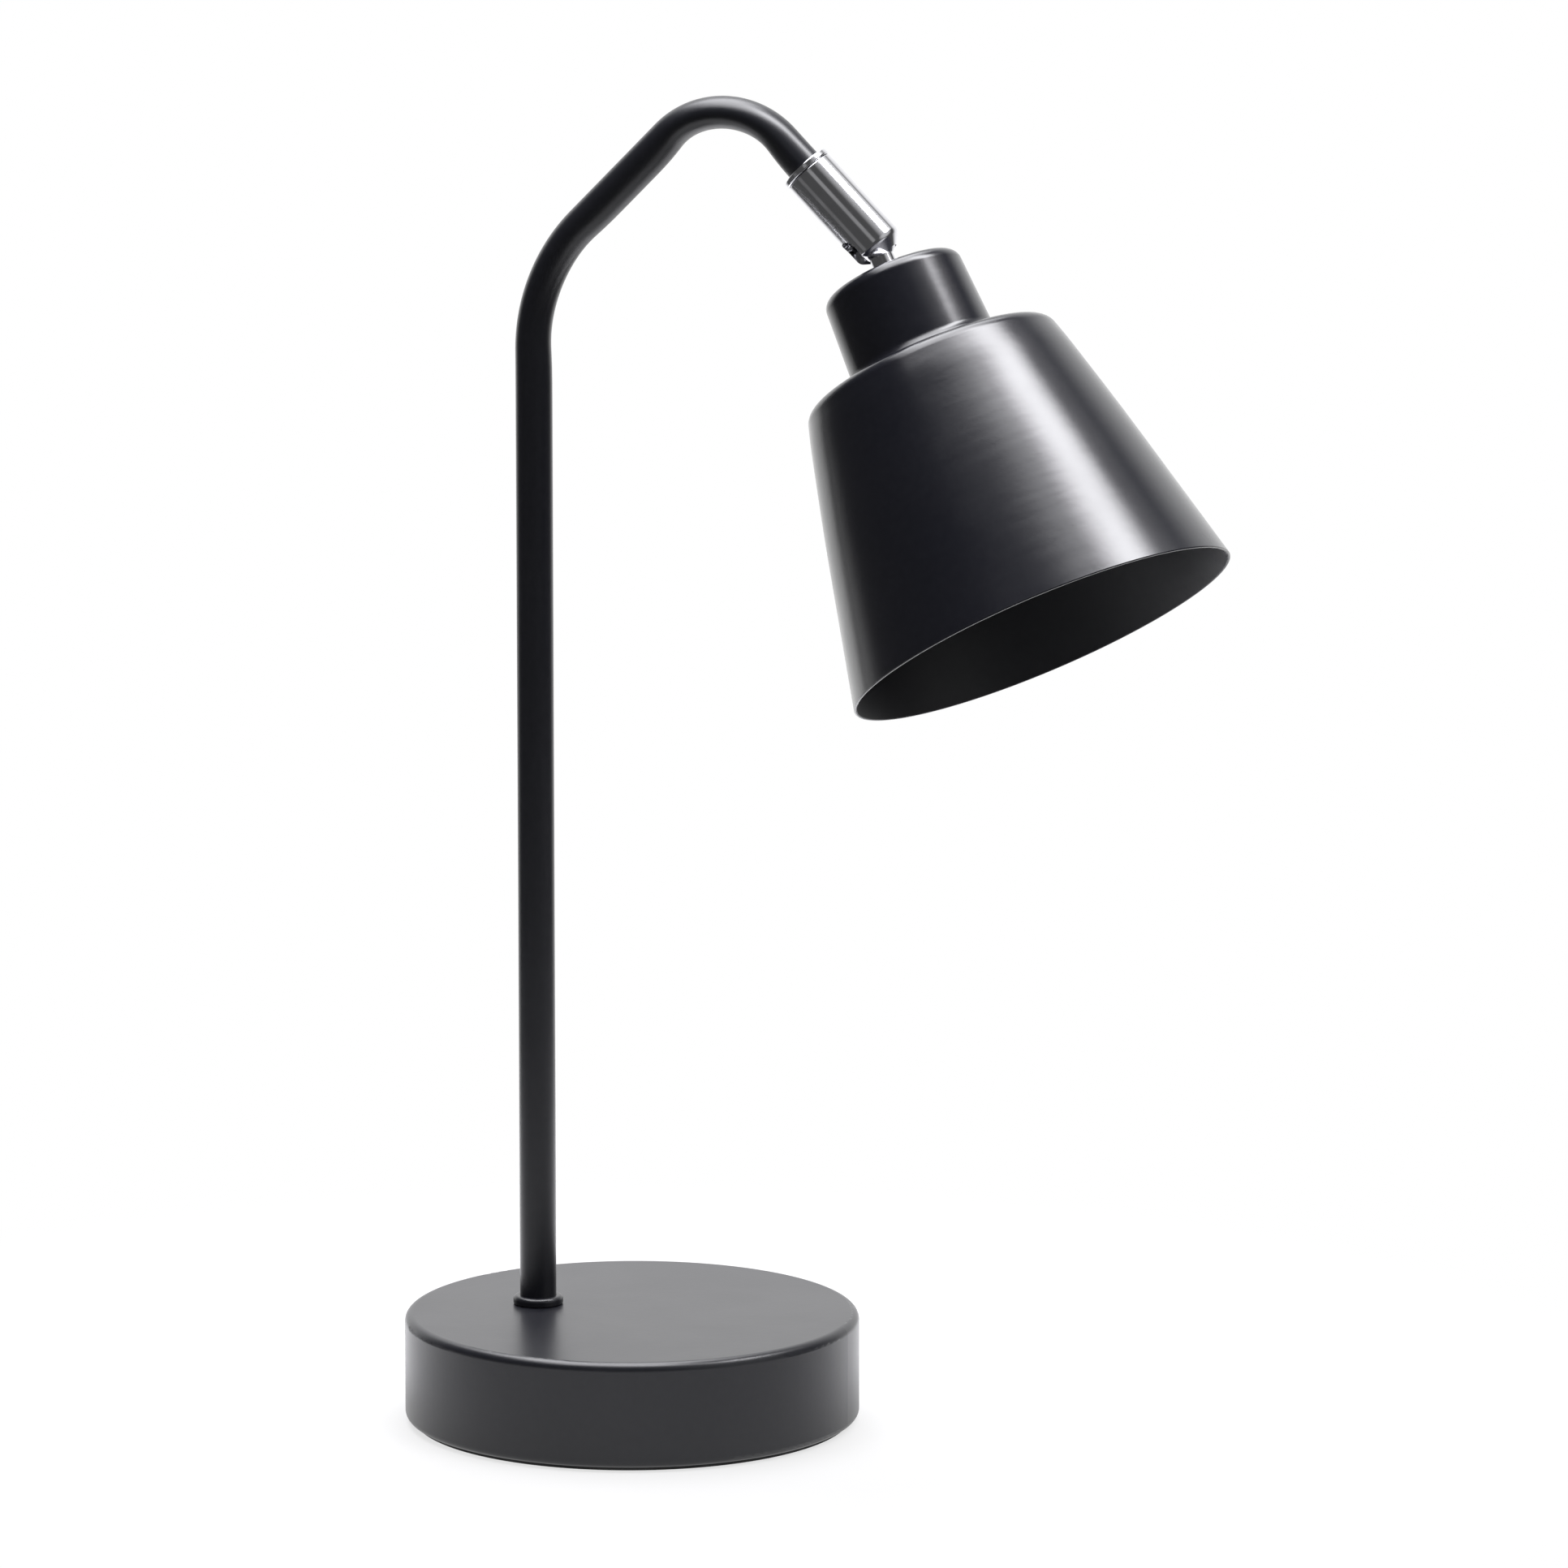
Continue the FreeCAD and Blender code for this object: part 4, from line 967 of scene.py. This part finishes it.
def put(name, data, place, right, up, back):
    """Object in the scene at a place, with its three axes along the given ways."""
    turn = np.eye(4)
    turn[:3] = np.stack([right, up, back, place], -1)
    item = add_object(name, data)
    item.matrix_world = Matrix(turn.tolist())
    return item


def set_camera(stage):
    """Camera at the lamp's front, a little above it and looking slightly down."""
    right, back = view_axes(stage)
    behind = back * math.cos(stage.pitch) + UP * math.sin(stage.pitch)
    place = back * stage.reach + right * stage.aside + UP * stage.above
    data = bpy.data.cameras.new("Camera")
    data.sensor_width = SENSOR_WIDTH
    data.lens = stage.lens
    bpy.context.scene.camera = put("Camera", data, place, right, np.cross(behind, right), behind)


def floor_finish(stage):
    """Pale table, paler at the back: it takes the lamp's soft shadow, and reads white to the camera further out.

    Close to the lamp it also glows nearly white to the lamp's own reflections: a painted glow where the table lies in
    shade.
    """
    made = Finish("Pale table")
    tree = made.tree
    tree.nodes.remove(made.shader)
    _, back = view_axes(stage)
    reach = add_node(tree, "ShaderNodeVectorMath", {0: made.place}, operation="LENGTH").outputs["Value"]
    ahead = add_vector(tree, "DOT_PRODUCT", made.place, tuple(back))
    pale = ramp(tree, ahead, FLOOR_DEPTH, -FLOOR_DEPTH, stage.floor_front, stage.floor_back)
    tone = add_math(tree, "ADD", pale, add_math(tree, "MULTIPLY", made.handling(scale=8.0), FLOOR_DRIFT))
    diffuse = add_node(tree, "ShaderNodeBsdfDiffuse", {"Color": tone})
    white = add_node(tree, "ShaderNodeEmission", {"Strength": 1.0})
    path = tree.nodes.new("ShaderNodeLightPath").outputs
    fade = ramp(tree, reach, FLOOR_NEAR, stage.floor_radius * FLOOR_FAR, stage.floor_white, 1.0)
    seen = add_math(tree, "MULTIPLY", path["Is Camera Ray"], fade)
    # Painted glow: rays reflected off the lamp see the table near it lifted towards white, where it lies in shade.
    painted_glow = add_math(tree, "MULTIPLY", path["Is Glossy Ray"], ramp(tree, reach, *FLOOR_REFLECTED_GLOW))
    lifted = add_math(tree, "ADD", seen, painted_glow)
    mix = add_node(tree, "ShaderNodeMixShader", {"Fac": lifted, 1: diffuse.outputs[0], 2: white.outputs[0]})
    output = next(node for node in tree.nodes if node.type == "OUTPUT_MATERIAL")
    tree.links.new(mix.outputs[0], output.inputs["Surface"])
    return made.material


def set_floor(stage):
    """Round table top: rings of growing radius on the floor's level, closed by a small middle disc."""
    radii = np.linspace(TABLE_MIDDLE, stage.floor_radius, TABLE_RINGS)
    rows = np.stack([radii, np.full(TABLE_RINGS, TABLE_LEVEL)], -1)[:, None]
    vertices, faces, _ = looped(spun(rows, full_turn(TUBE_COLUMNS), (None, *np.eye(3))))
    rings, middle = faces[:-TUBE_COLUMNS, ::-1].tolist(), [list(range(TUBE_COLUMNS))]
    mesh = bpy.data.meshes.new("Table")
    mesh.from_pydata(vertices.tolist(), [], rings + middle)
    mesh.materials.append(floor_finish(stage))
    table = add_object("Table", mesh)


def set_room(stage):
    """Studio: white to the camera; pale behind the lamp, glowing beside and above it, with pale patches in front."""
    world = bpy.data.worlds.new("Studio")
    bpy.context.scene.world = world
    world.use_nodes = True
    tree = world.node_tree
    tree.nodes.clear()
    right, back = view_axes(stage)
    looked = tree.nodes.new("ShaderNodeTexCoord").outputs["Generated"]

    def glow(way, limits):
        return ramp(tree, add_vector(tree, "DOT_PRODUCT", looked, tuple(way)), *limits)

    def aimed(turn, rise, *limits):
        turn, rise = math.radians(turn), math.radians(rise)
        level = back * math.cos(turn) + right * math.sin(turn)
        return glow(level * math.cos(rise) + UP * math.sin(rise), limits)

    light = add_math(tree, "ADD", aimed(*SIDE_GLOW), aimed(*HIGH_GLOW))
    light = add_math(tree, "MAXIMUM", glow(right * BACKDROP_LEAN - back, BACKDROP), light)
    for patch in PATCHES:
        light = add_math(tree, "MAXIMUM", light, aimed(*patch))
    room, white = (
        add_node(tree, "ShaderNodeBackground", {"Color": (1, 1, 1, 1), "Strength": strength}).outputs[0]
        for strength in (light, 1.0)
    )
    seen = tree.nodes.new("ShaderNodeLightPath").outputs["Is Camera Ray"]
    mix = add_node(tree, "ShaderNodeMixShader", {"Fac": seen, 1: room, 2: white})
    add_node(tree, "ShaderNodeOutputWorld", {"Surface": mix.outputs[0]})


def set_boxes(stage):
    """Soft boxes overhead that face down, each of three nested rectangles that add up to a soft edge."""
    right, back = view_axes(stage)
    for name, aside, before, width, depth, edge, turn, level in SOFT_BOXES:
        along = right * math.cos(turn) + back * math.sin(turn)
        for layer, grow in enumerate(BOX_EDGES):
            wide, deep = width + grow * edge, depth + grow * edge
            data = bpy.data.lights.new(f"{name} {layer + 1}", "AREA")
            data.shape = "RECTANGLE"
            data.size, data.size_y = wide, deep
            data.energy = math.pi * level / len(BOX_EDGES) * wide * deep
            data.color = stage.box_colour
            place = ARM_TOP + right * aside + back * before + UP * (stage.box_height + BOX_GAP * layer)
            put(data.name, data, place, along, np.cross(UP, along), UP)


class DESK_LAMP_OT_stage(bpy.types.Operator):
    """Set up the table, the studio, the lights and the camera"""

    bl_idname = "desk_lamp.stage"
    bl_label = "Stage"

    def execute(self, context):
        stage = context.scene.desk_lamp.stage
        context.scene.view_settings.view_transform = "Standard"
        set_camera(stage)
        set_floor(stage)
        set_room(stage)
        set_boxes(stage)
        return {"FINISHED"}


PIECES = (
    DESK_LAMP_OT_base,
    DESK_LAMP_OT_arm,
    DESK_LAMP_OT_swivel,
    DESK_LAMP_OT_shade,
    DESK_LAMP_OT_bulb,
    DESK_LAMP_OT_hardware,
    DESK_LAMP_OT_stage,
)


class DESK_LAMP_PT_panel(bpy.types.Panel):
    """Sidebar panel with the lamp's pieces and settings"""

    bl_label = "Desk lamp"
    bl_idname = "DESK_LAMP_PT_panel"
    bl_space_type = "VIEW_3D"
    bl_region_type = "UI"
    bl_category = "Desk lamp"

    def draw(self, context):
        settings = context.scene.desk_lamp
        for piece in PIECES:
            self.layout.operator(piece.bl_idname)
        for name in LampSettings.__annotations__:
            box = self.layout.box()
            box.label(text=name.capitalize())
            group = getattr(settings, name)
            for key in group.__annotations__:
                box.prop(group, key)


CLASSES = (
    LampShadeSizes,
    LampArmSizes,
    LampSwivelSizes,
    LampBulbSizes,
    LampFinish,
    LampStage,
    LampSettings,
    *PIECES,
    DESK_LAMP_PT_panel,
)


def register():
    for item in CLASSES:
        bpy.utils.register_class(item)
    bpy.types.Scene.desk_lamp = bpy.props.PointerProperty(type=LampSettings)


def unregister():
    del bpy.types.Scene.desk_lamp
    for item in reversed(CLASSES):
        bpy.utils.unregister_class(item)


def main():
    """Build every piece in order."""
    register()
    for piece in PIECES:
        family, name = piece.bl_idname.split(".")
        getattr(getattr(bpy.ops, family), name)()


if __name__ == "__main__":
    main()
